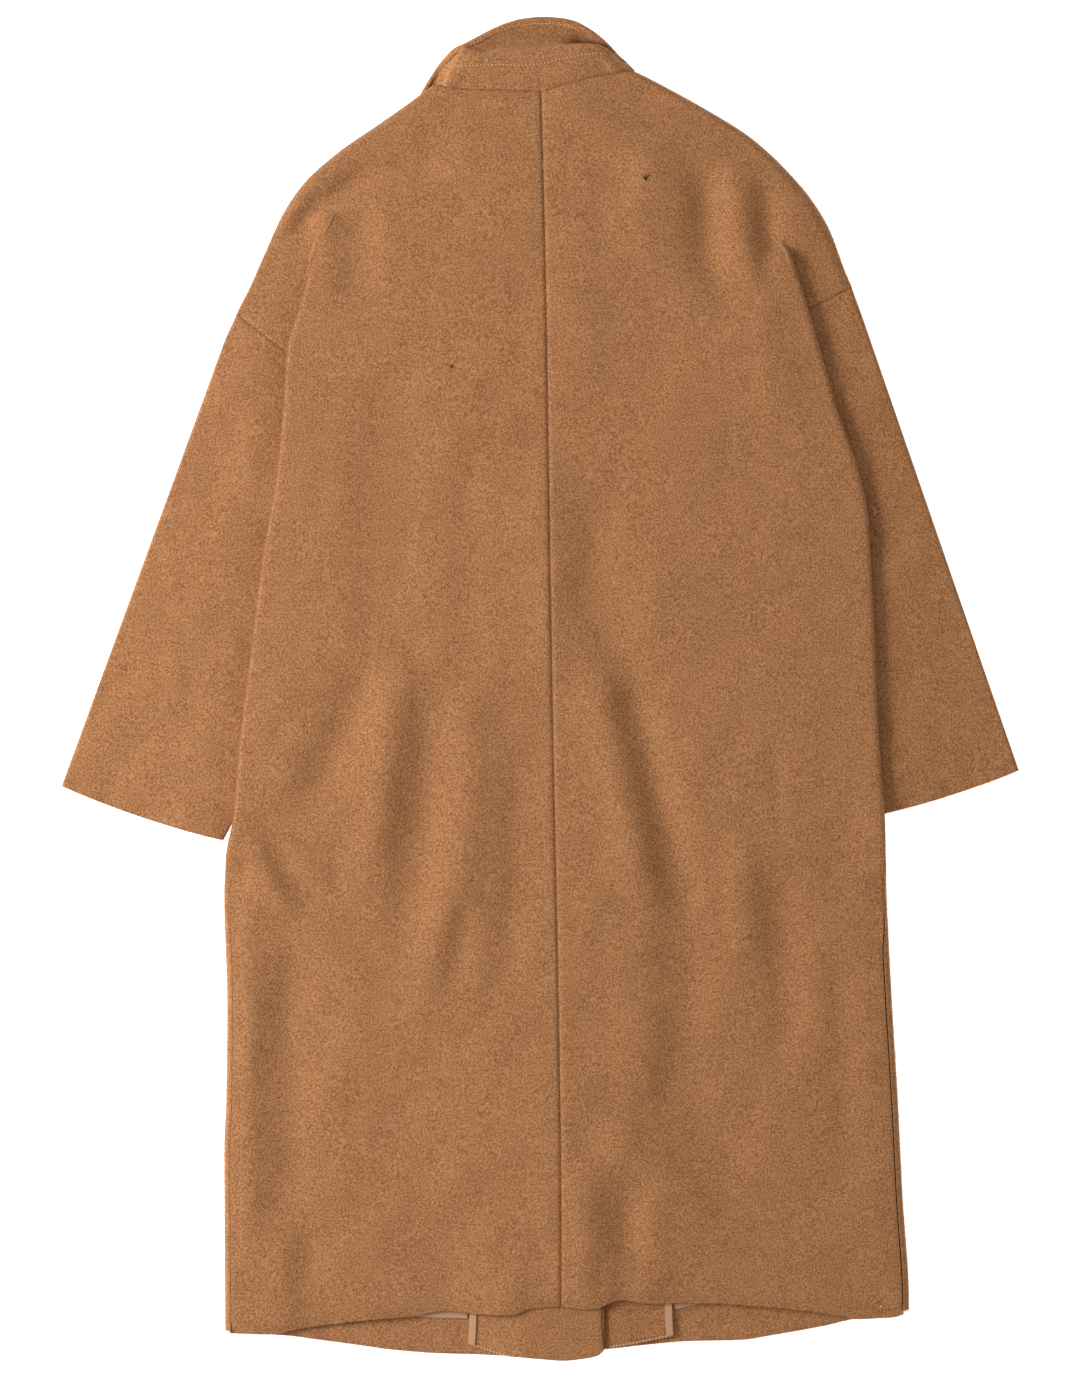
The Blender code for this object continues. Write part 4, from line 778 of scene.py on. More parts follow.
def with_tail(x, z, turned):
    """Section columns with the side's turn after them, which has no width where nothing turns."""
    turned = turned or [(x[-1], z[-1])] * (2 * TURN_STEPS + PLEAT_STEPS)
    turned = np.array(turned)
    return np.concatenate([x, turned[:, 0]]), np.concatenate([z, turned[:, 1]])


def back_rows(half):
    """Middle-surface points of a back panel, from the centre-back seam outward."""
    rows = []
    for level in half.levels:
        start, edge_height, turned = side_section(half, level, False)
        centre = float(centre_back(level)) + half.hand * SEAM_GAP / 2
        x = blend(centre, start, BODY_SHARES)
        y = row_y(x, level, back_hem)
        reach = blend(SIDE_SWELL_WIDTH, EDGE_SWELL_WIDTH, ease((level - SWELL_FROM) / SWELL_RUN))
        swell = ease(half.hand * (start - x) / reach)
        z = blend(edge_height, body_height(half, x, y, level), swell)
        tucked = float(ease((half.side.pleat - level) / half.side.pleat_run))
        if tucked < 1:
            z = blend(shoulder_height(half, x, level), z, tucked)
        x, z = with_tail(x, z, turned)
        cap_x, cap_z = cap_columns(half, level, (x[-1], z[-1]), False)
        x, z = np.concatenate([x, cap_x]), np.concatenate([z, cap_z])
        dip = groove(np.abs(x - centre)) + groove(NECK_LEVEL - level)
        dip = dip + HEM_ROLL * bell(level - HEM_LEVEL, HEM_ROLL_WIDTH)
        top = slice(0, len(BODY_SHARES))
        z[top] = z[top] - dip[top]
        seam_and_painted_shade = seam_line(np.abs(x - centre))
        if half.side.underarm < level < half.side.corner:
            cap = slice(len(x) - len(CAP_SHARES), None)
            seam_and_painted_shade[cap] = np.maximum(seam_and_painted_shade[cap], seam_line(np.abs(x[cap] - half.armhole(level)) * SLANT))
        seam_and_painted_shade = np.maximum(seam_and_painted_shade, seam_line(NECK_LEVEL - level))
        # Painted shade on the left edges: over the turn of the tuck and the side, and on the shoulder's rim
        turning = slice(len(BODY_SHARES) + 1, len(x) - len(CAP_SHARES))
        painted_shade = half.painted_edge_shade * blend(1.0, SIDE_SHADE, float(ease((SIDE_SHADE_LEVEL - level) / SIDE_SHADE_RUN)))
        seam_and_painted_shade[turning] = np.maximum(seam_and_painted_shade[turning], painted_shade * min(1.0, half.turn(level).turn / 90))
        if level >= half.side.corner:
            inside = half.hand * (half.outline(level) - x)
            seam_and_painted_shade = np.maximum(seam_and_painted_shade, half.painted_edge_shade * SIDE_SHADE * ease(1 - inside / RIM_SHADE_WIDTH))
        rows.append(np.stack([x, row_y(x, level, back_hem), z, seam_and_painted_shade], 1))
    return np.array(rows)


def front_y(half, x, level):
    """Y of points of a front panel, bent to the front neckline and the front hem."""
    lift = HEM_TURN_RADIUS + CLOTH / 2
    y = row_y(x, level, half.front_hem) + lift * ease((HEM_LEVEL + HEM_FADE - level) / HEM_FADE)
    neck = FRONT_NECK[0][0] if half.hand < 0 else FRONT_NECK[-1][0]
    drop = front_neck(x) - NECK_LEVEL - neck_rise(x)
    share = ease((level - NECK_LEVEL + FRONT_NECK_FADE) / FRONT_NECK_FADE)
    return np.where(half.hand * (neck - x) > 0, y + drop * share, y)


def front_rows(half):
    """Middle-surface points of a front panel, from its front edge outward."""
    rows = []
    for level in half.levels:
        start, _, turned = side_section(half, level, True)
        x = blend(half.closing(level), start, FRONT_SHARES)
        x, z = with_tail(x, front_height(half, x, level), turned)
        cap_x, cap_z = cap_columns(half, level, (x[-1], z[-1]), True)
        x, z = np.concatenate([x, cap_x]), np.concatenate([z, cap_z])
        rows.append(np.stack([x, front_y(half, x, level), z], 1))
    return np.array(rows)


def turned_hem(half, foot):
    """Rows of a front's turned-up hem, from the hem's fold up to its bound edge."""
    foot = foot[:len(FRONT_SHARES)]
    rows = [foot]
    for i in range(1, HEM_TURN_STEPS + 1):
        angle = math.pi * i / HEM_TURN_STEPS
        out, up = HEM_TURN_RADIUS * math.sin(angle), HEM_TURN_RADIUS * (1 - math.cos(angle))
        rows.append(foot + (0, -out, up))
    for share in np.linspace(0, 1, 9)[1:]:
        rise = np.zeros_like(foot)
        rise[:, 1] = half.hem_depth(foot[:, 0]) * share
        rise[:, 2] = LAYER
        rows.append(foot + rise)
    return np.array(rows)


def hem_tape_rows(half):
    """Rows of the tape that binds the turned-up hem, on the hem's bound edge."""
    start, _, _ = side_section(half, HEM_LEVEL, True)
    x = np.linspace(half.tape_start, start - half.hand * TAPE_WIDTH, 90)
    y = front_y(half, x, HEM_LEVEL) + half.hem_depth(x)
    z = front_height(half, x, HEM_LEVEL) + LAYER + CLOTH / 2 + SEAM_GAP + TAPE_CLOTH / 2
    return np.array([np.stack([x, y - down, z], 1) for down in np.linspace(0, TAPE_WIDTH, 5)])


def facing_columns(half, level, shares):
    """Points across a facing at a level: the front's own points moved up."""
    narrow = 1.0
    if half.hand > 0:
        taper = ease((level - FACING_TAPER_FROM) / (FACING_TAPER_TO - FACING_TAPER_FROM))
        narrow = blend(1.0, RIGHT_FACING_TOP_WIDTH / FACING_WIDTH, taper)
    foot = float(ease((FACING_FOOT - level) / (FACING_FOOT - HEM_LEVEL)))
    end = half.front_edge + (half.facing_end - half.front_edge) * narrow + half.hand * FACING_LEAN * foot
    x = blend(half.closing(level) + half.hand * SEAM_GAP, end, shares)
    y = front_y(half, x, level)
    y = blend(y, half.facing_hem(x), foot)
    return np.stack([x, y, facing_height(half, x, level)], 1)


def facing_rows(half):
    """Points of a facing, row by row."""
    levels = [level for level in half.levels if level <= FACING_TOP]
    return np.array([facing_columns(half, level, FACING_SHARES) for level in levels])


def facing_tape_rows(half):
    """Points of the tape on a facing's inner edge: the facing's own points moved up."""
    levels = [level for level in half.levels if level <= FACING_TOP]
    lift = (0, 0, CLOTH / 2 + SEAM_GAP + TAPE_CLOTH / 2)
    rows = []
    for level in levels:
        width = abs(np.diff(facing_columns(half, level, np.array([0.0, 1.0]))[:, 0])[0])
        rows.append(facing_columns(half, level, np.linspace(1 - TAPE_WIDTH / width, 1, 5)) + lift)
    return np.array(rows)


def unit(vector):
    """A vector of length one."""
    return vector / np.linalg.norm(vector)


def sleeve_rows(half, count):
    """Rings of a sleeve, a flattened tube from the armhole seam to the cuff."""
    side = half.side
    head = [np.array((float(half.armhole(level)), level)) for level in (side.corner, side.underarm + 0.010)]
    along = head[1] - head[0]
    along = along / np.hypot(*along)
    away = np.array((-side.hand * along[1], side.hand * along[0]))
    head = [place - away * SEAM_LAP for place in head]
    shares = np.concatenate([(0.0, 0.0016, 0.0036, 0.0064), np.linspace(0.010, 1, count)])
    rings = []
    for share in shares:
        outer = blend(head[0], np.array(side.cuff_out), share)
        inner = blend(head[1], np.array(side.cuff_in), share)
        rings.append(sleeve_ring(half, outer, inner, share))
    return np.array(rings)


def sleeve_ring(half, outer, inner, share):
    """One ring of a sleeve, over its line from the outer edge to the inner one."""
    across = unit(inner - outer)
    outer = outer - across * half.side.sleeve_bow * float(ease(share / SLEEVE_BOW_RUN))
    width = np.hypot(*(inner - outer))
    onward = np.array((-half.hand * across[1], half.hand * across[0]))
    bow = CUFF_BOW * max(0.0, 1 - (1 - share) / CUFF_BOW_RUN) ** 2

    def walls(place):
        spot = outer + (inner - outer) * (place / width)[:, None]
        arch = np.sin(math.pi * np.clip(place / width, 0, 1)) ** CUFF_BOW_ROUND
        spot = spot + onward * (bow * arch)[:, None]
        beyond = half.hand * (spot[:, 0] - half.edge(spot[:, 1]))
        top = CAP_HEIGHT - CAP_FALL * ease(beyond / CAP_FALL_WIDTH) - tuck_dip(beyond)
        low = blend(UNDERCAP_HEIGHT, FLOOR_CLOTH, ease((beyond - SLEEVE_DROP_FROM) / SLEEVE_DROP_WIDTH))
        return spot, top, low

    _, tops, lows = walls(np.array((0.0, width)))
    rounds = (tops - lows) / 2
    turn = 1 - np.cos(np.linspace(0, math.pi / 2, TUBE_TURN_STEPS))
    places = [CLOTH / 2 + rounds[0] * turn]
    flat = (CLOTH / 2 + rounds[0], width - CLOTH / 2 - rounds[1])
    places.append(np.linspace(*flat, TUBE_FLAT_STEPS + 2)[1:-1])
    places.append(width - CLOTH / 2 - rounds[1] * turn[::-1])
    rounding = np.sqrt(1 - (1 - turn) ** 2)
    swell = np.concatenate([rounding, np.ones(TUBE_FLAT_STEPS), rounding[::-1]])
    place = np.concatenate(places)
    spot, top, low = walls(place)
    middle, reach = (top + low) / 2, (top - low) / 2
    crease = wave_height(spot[:, 0], spot[:, 1]) * SLEEVE_WAVES - groove(share * SLEEVE_LENGTH)
    # Dark seam line at the armhole, and painted shade over the left sleeve's rounded edges
    seam_and_painted_shade = np.maximum(seam_line(share * SLEEVE_LENGTH), half.painted_edge_shade * SIDE_SHADE * (1 - swell))
    upper = np.column_stack([spot, middle + reach * swell + crease * swell, seam_and_painted_shade])
    lower = np.column_stack([spot, middle - reach * swell, seam_and_painted_shade])
    return np.concatenate([upper, lower[-2:0:-1], upper[:1]])


def collar_sections():
    """Collar sections: the table's rows and even ones between. A section is its place and its five points."""
    rows = [(place, *np.ravel(row)) for place, row in enumerate(COLLAR)]
    columns = [curve(rows, column) for column in range(1, 16)]
    keys = np.linspace(0, len(rows) - 1, (len(rows) - 1) * COLLAR_ROW_STEPS + 1)
    return [(key, np.array([float(column(key)) for column in columns]).reshape(5, 3)) for key in keys]


def neck_edge(backs):
    """Points of the back's neck edge, from left to right, with x growing."""
    points = np.concatenate([rows[0] for rows in backs])
    points = points[np.argsort(points[:, 0])]
    keep = np.concatenate([[True], np.diff(points[:, 0]) > 0.0002])
    return points[keep]


def stand_rows(edge):
    """Rows of the collar stand, from the neck seam, on the back's own edge, to its top."""
    shares = np.array((0.0, 0.03, 0.07, 0.13, 0.22, 0.35, 0.5, 0.65, 0.8, 0.9, 0.96, 1.0))
    rows = []
    for key, points in collar_sections():
        seam, top = points[0], points[1]
        if SEWN_FROM <= key <= SEWN_TO:
            x = np.clip(seam[0], edge[0, 0], edge[-1, 0])
            hold = float(ease((key - SEWN_FROM) / SEWN_EASE) * ease((SEWN_TO - key) / SEWN_EASE))
            y, z = np.interp(x, edge[:, 0], edge[:, 1]), np.interp(x, edge[:, 0], edge[:, 2])
            seam = blend(seam, np.array((x, y - SEAM_LAP, z + GROOVE_DEPTH)), hold)
        row = blend(seam, top, shares[:, None])
        run = np.linalg.norm(top - seam)
        row[:, 2] += STAND_SWELL * np.sin(math.pi * shares) - groove(shares * run)
        row[:, 2] -= STITCH_DIP * bell((1 - shares) * run, STITCH_DIP_WIDTH)
        rows.append(np.column_stack([row, seam_line(shares * run)]))
    return np.array(rows)


def fall_rows():
    """Rows of the collar fall: on from the stand, over the roll, down its foot and out to the edge."""
    rows = []
    for key, points in collar_sections():
        knots = points[1:]
        runs = runs_along(knots)
        table = [(run, *knot) for run, knot in zip(runs, knots)]
        along = runs[-1] * (1 - (1 - np.linspace(0, 1, FALL_STEPS)) ** FALL_CROWD)
        row = np.stack([curve(table, column)(along) for column in (1, 2, 3)], 1)
        inside = runs[-1] - along
        row[:, 2] -= STITCH_DIP * bell(along, STITCH_DIP_WIDTH)
        swell = BAND_SWELL * bell(inside - BAND_WIDTH * 0.5, BAND_WIDTH * 0.42)
        dip = STITCH_DIP * bell(inside - BAND_WIDTH, EDGE_DIP_WIDTH)
        row[:, 2] += (swell - dip) * ease(runs[-1] / 0.012 - 0.5)
        # Painted shade: dark in the hollow behind the roll, and a little on the far side out to the band
        beyond = along - runs[2]
        reach = (runs[-1] - runs[2]) * 0.55
        painted_hollow_shade = bell(np.maximum(0.0, beyond), reach) * ease(beyond / 0.002 + 1)
        painted_hollow_shade = painted_hollow_shade * HOLLOW_SHADE * float(ease(key - HOLLOW_FROM) * ease(HOLLOW_TO - key))
        painted_shade = FAR_SHADE * ease(beyond / 0.004) * ease((inside - BAND_WIDTH) / 0.003)
        painted_shade = painted_shade * float(ease(key - SEWN_FROM) * ease(SEWN_TO - key))
        rows.append(np.column_stack([row, np.maximum(painted_hollow_shade, painted_shade)]))
    return np.array(rows)


class Value:
    """A shader socket. Arithmetic on it adds Math nodes."""

    def __init__(self, finish, socket):
        self.finish, self.socket = finish, socket

    def maths(self, operation, first, second):
        return self.finish.node("ShaderNodeMath", {"operation": operation}, {0: first, 1: second})

    def __add__(self, other):
        return self.maths("ADD", self, other)

    __radd__ = __add__

    def __sub__(self, other):
        return self.maths("SUBTRACT", self, other)

    def __rsub__(self, other):
        return self.maths("SUBTRACT", other, self)

    def __mul__(self, other):
        return self.maths("MULTIPLY", self, other)

    __rmul__ = __mul__

    def __truediv__(self, other):
        return self.maths("DIVIDE", self, other)


class Finish:
    """A node material, with one method that adds any node."""

    def __init__(self, name):
        self.material = bpy.data.materials.new(name)
        self.material.use_nodes = True
        self.net = self.material.node_tree
        self.shader = self.net.nodes["Principled BSDF"]

    def node(self, kind, settings=None, sockets=None, output=0):
        """A node's output: settings are set first, then its sockets get values or links."""
        made = self.net.nodes.new(kind)
        for name, value in (settings or {}).items():
            setattr(made, name, value)
        for name, value in (sockets or {}).items():
            self.give(made.inputs[name], value)
        return Value(self, made.outputs[output])

    def give(self, socket, value):
        """Links a value to a socket, or sets it."""
        if isinstance(value, Value):
            self.net.links.new(value.socket, socket)
        else:
            socket.default_value = value

    def looks(self, values):
        """Gives sockets of the shader their values or links, and returns the material."""
        for name, value in values.items():
            self.give(self.shader.inputs[name], value)
        return self.material

    def place(self):
        """A place on the piece, in metres."""
        return self.node("ShaderNodeTexCoord", output="Object")

    def noise(self, place, scale, detail=2.0, roughness=0.5):
        """Soft noise, from 0 to 1, with about that many lumps in a metre."""
        sockets = {"Vector": place, "Scale": scale, "Detail": detail, "Roughness": roughness}
        return self.node("ShaderNodeTexNoise", None, sockets)

    def mix(self, share, first, second):
        """Mix of two colours."""
        sockets = {0: share, 6: first, 7: second}
        return self.node("ShaderNodeMix", {"data_type": "RGBA"}, sockets, output=2)

    def spread(self, value, low, high):
        """A value stretched so that low gives 0 and high gives 1."""
        sockets = {"Value": value, "From Min": low, "From Max": high}
        return self.node("ShaderNodeMapRange", None, sockets)

    def streaks(self, place, scale, thin, turn):
        """Fibre-like streaks: noise drawn out along one direction."""
        sockets = {"Vector": place, "Rotation": (0.0, 0.0, turn), "Scale": (scale * thin, scale, scale)}
        drawn = self.node("ShaderNodeMapping", None, sockets)
        return self.noise(drawn, 1.0, 1.0)


def wool_finish(name, holes=()):
    """Felted wool coating: camel fibres with darker and lighter ones among them, and a short nap."""
    finish = Finish(name)
    place = finish.place()
    grain = finish.noise(place, 640.0, 1.0)
    fleck = finish.noise(place, 1150.0, 1.0)
    cloud = finish.noise(place, 60.0, 3.0)
    broad = finish.noise(place, 9.0, 2.0)
    slub = finish.streaks(place, 420.0, 0.12, 0.0)
    fibres = finish.streaks(place, 260.0, 5.0, 0.5) * 0.5 + finish.streaks(place, 260.0, 5.0, 2.2) * 0.5
    tone = grain * 0.62 + fleck * 0.18 + fibres * 0.20 + (slub - 0.5) * 0.06 + (cloud - 0.5) * 0.07
    tone = tone + (broad - 0.5) * 0.03
    colour = finish.mix(finish.spread(tone, GRAIN_LOW, GRAIN_HIGH), WOOL_DARK, WOOL_LIGHT)
    # Darker where the value 'seam' is high: the seams' dark lines, and painted shade in grooves, hollows and
    # along edges
    seam = finish.node("ShaderNodeAttribute", {"attribute_name": "seam"}, None, output="Fac")
    colour = finish.mix(seam * 0.7, colour, SEAM_AND_PAINTED_SHADE_COLOUR)
    # Worn holes, painted dark for the shade within them
    for x, y, radius, darkness in holes:
        away = finish.node("ShaderNodeVectorMath", {"operation": "MULTIPLY"}, {0: place, 1: (1.0, 1.0, 0.0)})
        ends = {0: away, 1: (x, y, 0.0)}
        away = finish.node("ShaderNodeVectorMath", {"operation": "DISTANCE"}, ends, output=1)
        ragged = away + (fleck - 0.5) * radius * 1.6
        pit = finish.spread(ragged, radius, radius * 0.35)
        colour = finish.mix(pit * darkness, colour, HOLE_SHADE_COLOUR)
    height = grain * 0.5 + fleck * 0.3 + fibres * 0.2
    bump = finish.node("ShaderNodeBump", None, {"Strength": 0.6, "Distance": 0.0012, "Height": height})
    return finish.looks({
        "Base Color": colour, "Normal": bump, "Roughness": 0.95, "Specular IOR Level": 0.15,
        "Sheen Weight": 0.10, "Sheen Roughness": 0.6, "Sheen Tint": (1.0, 0.80, 0.60, 1.0),
    })


def tape_finish():
    """Fine woven binding tape, smoother and paler than the wool."""
    finish = Finish("binding_tape")
    place = finish.place()
    sockets = {"Vector": place, "Scale": 320.0}
    ribs = finish.node("ShaderNodeTexWave", {"bands_direction": "DIAGONAL"}, sockets)
    cloud = finish.noise(place, 240.0, 2.0)
    colour = finish.mix(ribs * 0.35 + cloud * 0.4, TAPE_COLOUR, TAPE_SHADE)
    bump = finish.node("ShaderNodeBump", None, {"Strength": 0.3, "Distance": 0.0003, "Height": ribs})
    return finish.looks({"Base Color": colour, "Normal": bump, "Roughness": 0.7})


def thread_finish():
    """Sewing thread with a fine twist."""
    finish = Finish("sewing_thread")
    twist = finish.noise(finish.place(), 2600.0, 1.0)
    return finish.looks({"Base Color": finish.mix(twist * 0.5, THREAD_COLOUR, WOOL_LIGHT), "Roughness": 0.7})


def fibre_finish():
    """Loose wool fibres, each with its own tone."""
    finish = Finish("wool_fibre")
    tone = finish.node("ShaderNodeAttribute", {"attribute_name": "tone"}, None, output="Fac")
    return finish.looks({"Base Color": finish.mix(tone, WOOL_MID, WOOL_LIGHT), "Roughness": 0.9})


def lint_finish():
    """Pale lint."""
    return Finish("lint").looks({"Base Color": LINT_COLOUR, "Roughness": 0.95})


def woven(name, blocks, thickness, material):
    """A cloth piece: grids bent to blocks of rows of points, joined, thickened, its cut edges rounded."""
    net = bmesh.new()
    # A fourth column in the points is kept as the vertex value 'seam': the seams' dark lines and painted
    # shade
    seam = net.verts.layers.float.new("seam")
    for points in blocks:
        rows, columns = points.shape[:2]
        made = bmesh.ops.create_grid(net, x_segments=columns - 1, y_segments=rows - 1, size=1.0)
        seams_and_painted_shade = points[..., 3].ravel() if points.shape[2] > 3 else np.zeros(rows * columns)
        for vert, place, seam_and_painted_shade in zip(made["verts"], points[..., :3].reshape(-1, 3), seams_and_painted_shade):
            vert.co = place
            vert[seam] = seam_and_painted_shade
    bmesh.ops.remove_doubles(net, verts=net.verts, dist=0.00002)
    bmesh.ops.recalc_face_normals(net, faces=net.faces)
    piece = shown_mesh(name, net, material)
    wall = piece.modifiers.new("wall", "SOLIDIFY")
    wall.thickness = thickness
    wall.offset = 0.0
    rim = piece.modifiers.new("rim", "BEVEL")
    rim.limit_method = "ANGLE"
    rim.angle_limit = math.radians(60)
    rim.width = thickness * 0.35
    rim.segments = 2
    return piece


def final_mesh(piece):
    """Points and triangle corners of a piece as it is shown."""
    graph = bpy.context.evaluated_depsgraph_get()
    shown = piece.evaluated_get(graph)
    mesh = shown.to_mesh()
    mesh.calc_loop_triangles()
    places = np.empty(len(mesh.vertices) * 3, np.float32)
    mesh.vertices.foreach_get("co", places)
    corners = np.empty(len(mesh.loop_triangles) * 3, np.int32)
    mesh.loop_triangles.foreach_get("vertices", corners)
    places, corners = places.reshape(-1, 3).astype(float), corners.reshape(-1, 3)
    shown.to_mesh_clear()
    return places, corners


def shown_mesh(name, net, material):
    """A smooth piece from a finished net."""
    for face in net.faces:
        face.smooth = True
    mesh = bpy.data.meshes.new(name)
    net.to_mesh(mesh)
    net.free()
    return riding(name, mesh, material)


def riding(name, mesh, material):
    """A piece with a mesh, a material and a slot, that rides on the coat."""
    mesh.materials.append(material)
    piece = bpy.data.objects.new(name, mesh)
    bpy.context.scene.collection.objects.link(piece)
    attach(piece, "root")
    return piece


def fibres(name, roots, normals, draws, stand):
    """A joined mesh of thin curved fibres on given roots, which lean from the cloth by stand."""
    count = len(roots)
    loose = draws.normal(size=(count, 3))
    loose -= normals * np.sum(loose * normals, 1)[:, None]
    loose /= np.linalg.norm(loose, axis=1)[:, None]
    lean = draws.uniform(*stand, count)[:, None]
    heading = loose * (1 - lean) + normals * lean
    heading /= np.linalg.norm(heading, axis=1)[:, None]
    reach = draws.uniform(*FIBRE_LENGTH, count)[:, None]
    across = np.cross(heading, normals + loose[:, ::-1] * 0.2)
    across /= np.linalg.norm(across, axis=1)[:, None]
    across *= FIBRE_WIDTH * draws.uniform(0.6, 1.3, count)[:, None]
    curl = across / FIBRE_WIDTH * reach * draws.uniform(-0.35, 0.35, count)[:, None]
    middle = roots + heading * reach * 0.55 + curl
    tip = roots + heading * reach - normals * reach * 0.15 + curl * 0.4
    places = np.stack([roots - across, roots + across, middle - across * 0.8, middle + across * 0.8, tip], 1)
    base = np.arange(count)[:, None] * 5
    quads = (base + (0, 1, 3, 2)).tolist()
    tips = (base + (2, 3, 4)).tolist()
    mesh = bpy.data.meshes.new(name)
    mesh.from_pydata(places.reshape(-1, 3).tolist(), [], quads + tips)
    tone = mesh.attributes.new("tone", "FLOAT", "POINT")
    tone.data.foreach_set("value", np.repeat(draws.uniform(0, 1, count), 5).astype(np.float32))
    return riding(name, mesh, FIBRE)


def nap(piece, seed):
    """Fibres all over a cloth piece's upper side."""
    draws = np.random.default_rng(seed)
    places, corners = final_mesh(piece)
    spans = places[corners]
    normals = np.cross(spans[:, 1] - spans[:, 0], spans[:, 2] - spans[:, 0])
    areas = np.linalg.norm(normals, axis=1) / 2
    normals = normals / np.maximum(areas * 2, 1e-12)[:, None]
    shown = areas * (normals[:, 2] > 0.05) * (spans[:, :, 2].min(1) > NAP_FLOOR)
    count = int(shown.sum() * FIBRES_ON_CLOTH)
    chosen = draws.choice(len(areas), count, p=shown / shown.sum())
    share = draws.uniform(0, 1, (count, 2))
    share = np.where(share.sum(1)[:, None] > 1, 1 - share, share)
    roots = spans[chosen, 0] + (spans[chosen, 1] - spans[chosen, 0]) * share[:, :1]
    roots += (spans[chosen, 2] - spans[chosen, 0]) * share[:, 1:]
    return fibres(piece.name + "_nap", roots, normals[chosen], draws, (0.05, 0.5))


def fringe(name, routes, draws):
    """Fibres along edges. A route is its points, the rough way out from it and the fibres on a metre."""
    roots, ways = [], []
    for points, away, thick in routes:
        runs = runs_along(points)
        at = draws.uniform(0, runs[-1], int(runs[-1] * thick))
        spots = np.stack([np.interp(at, runs, points[:, i]) for i in range(3)], 1)
        ahead = np.stack([np.interp(at + 0.001, runs, points[:, i]) for i in range(3)], 1)
        behind = np.stack([np.interp(at - 0.001, runs, points[:, i]) for i in range(3)], 1)
        tangent = (ahead - behind)[:, :2]
        out = np.stack([tangent[:, 1], -tangent[:, 0], np.zeros(len(at))], 1)
        out *= np.sign(out @ np.array((*away, 0.0)))[:, None]
        out /= np.maximum(np.linalg.norm(out, axis=1), 1e-9)[:, None]
        out[:, 2] = draws.uniform(-0.1, 0.7, len(at))
        out /= np.linalg.norm(out, axis=1)[:, None]
        spots[:, 2] += draws.uniform(-0.0007, 0.0010, len(at))
        roots.append(spots - out * 0.0010)
        ways.append(out)
    return fibres(name, np.concatenate(roots), np.concatenate(ways), draws, (0.35, 0.95))


def edge_routes(half):
    """Routes of the fringe on one side: shoulder, sleeve, cuff, side, tucked edge and hems."""
    side, out = half.side, (half.hand, 0.0)
    levels = np.linspace(side.corner, NECK_LEVEL, EDGE_SPOTS)
    x = half.outline(levels)
    shoulder = np.stack([x, row_y(x, levels, back_hem), np.full(EDGE_SPOTS, SHOULDER_FRINGE)], 1)
    rings = sleeve_rows(half, EDGE_SPOTS)[..., :3]
    sleeve, cuff = rings[:, 0], rings[-1, :2 * TUBE_TURN_STEPS + TUBE_FLAT_STEPS]
    levels = np.linspace(SIDE_FRINGE_FROM, HEM_LEVEL, EDGE_SPOTS)
    x = half.edge(levels)
    body_side = np.stack([x, row_y(x, levels, back_hem), np.full(EDGE_SPOTS, SIDE_FRINGE)], 1)
    levels = np.linspace(side.pleat - TUCK_FRINGE_BELOW, TUCK_FRINGE_TO, EDGE_SPOTS)
    x = half.edge(levels)
    tuck = np.stack([x, levels, np.full(EDGE_SPOTS, TUCK_FRINGE)], 1)
    ends = sorted((float(half.edge(HEM_LEVEL)), LEFT_FRONT_EDGE))
    x = np.linspace(*ends, HEM_SPOTS)
    hem = np.stack([x, half.front_hem(x), np.full(HEM_SPOTS, HEM_FRINGE)], 1)
    x = np.linspace(centre_back(HEM_LEVEL), half.edge(HEM_LEVEL), HEM_SPOTS)
    back = np.stack([x, back_hem(x), body_height(half, x, back_hem(x), HEM_LEVEL) - HEM_ROLL], 1)
    down = (0.0, -1.0)
    return [
        (shoulder, out, FIBRES_ON_EDGE), (sleeve, out, FIBRES_ON_EDGE), (cuff, down, FIBRES_ON_EDGE),
        (body_side, out, FIBRES_ON_EDGE), (tuck, out, FIBRES_ON_TUCK), (hem, down, FIBRES_ON_EDGE),
        (back, down, FIBRES_ON_TUCK),
    ]


def strands(name, routes, radius, material):
    """Thin threads, each a square tube along a smooth route through a few places."""
    net = bmesh.new()
    for route in routes:
        places = np.array(route)
        table = [(i, *place) for i, place in enumerate(places)]
        along = np.linspace(0, len(places) - 1, 6 * len(places))
        spine = np.stack([curve(table, column)(along) for column in (1, 2, 3)], 1)
        rings = [[net.verts.new(spot + radius * np.array(corner)) for corner in SQUARE] for spot in spine]
        for first, second in zip(rings, rings[1:]):
            for i in range(4):
                net.faces.new((first[i], first[(i + 1) % 4], second[(i + 1) % 4], second[i]))
        net.faces.new(rings[0])
        net.faces.new(rings[-1][::-1])
    bmesh.ops.recalc_face_normals(net, faces=net.faces)
    return shown_mesh(name, net, material)


def specks(name, places, material):
    """Small specks of lint."""
    net = bmesh.new()
    for x, y, z, radius in places:
        spot = Matrix.Translation((x, y, z)) @ Matrix.Diagonal((1.0, 0.7, 0.5, 1.0))
        bmesh.ops.create_icosphere(net, subdivisions=2, radius=radius, matrix=spot)
    return shown_mesh(name, net, material)


def stitches(name, route, pitch, length, radius, material, slot):
    """A line of stitches along a route, each a small round-ended bead."""
    net = bmesh.new()
    along = runs_along(route)
    for start in np.arange(pitch / 2, along[-1] - pitch / 2, pitch):
        ends = []
        for at in (start, start + length):
            ends.append(np.array([np.interp(at, along, route[:, i]) for i in range(3)]))
        heading = Vector(ends[1] - ends[0])
        turn = heading.to_track_quat("X", "Z").to_matrix().to_4x4()
        shape = Matrix.Diagonal((heading.length / 2, radius, radius, 1.0))
        centre = Matrix.Translation(Vector((ends[0] + ends[1]) / 2))
        bmesh.ops.create_icosphere(net, subdivisions=1, radius=1.0, matrix=centre @ turn @ shape)
    return shown_mesh(name, net, material)


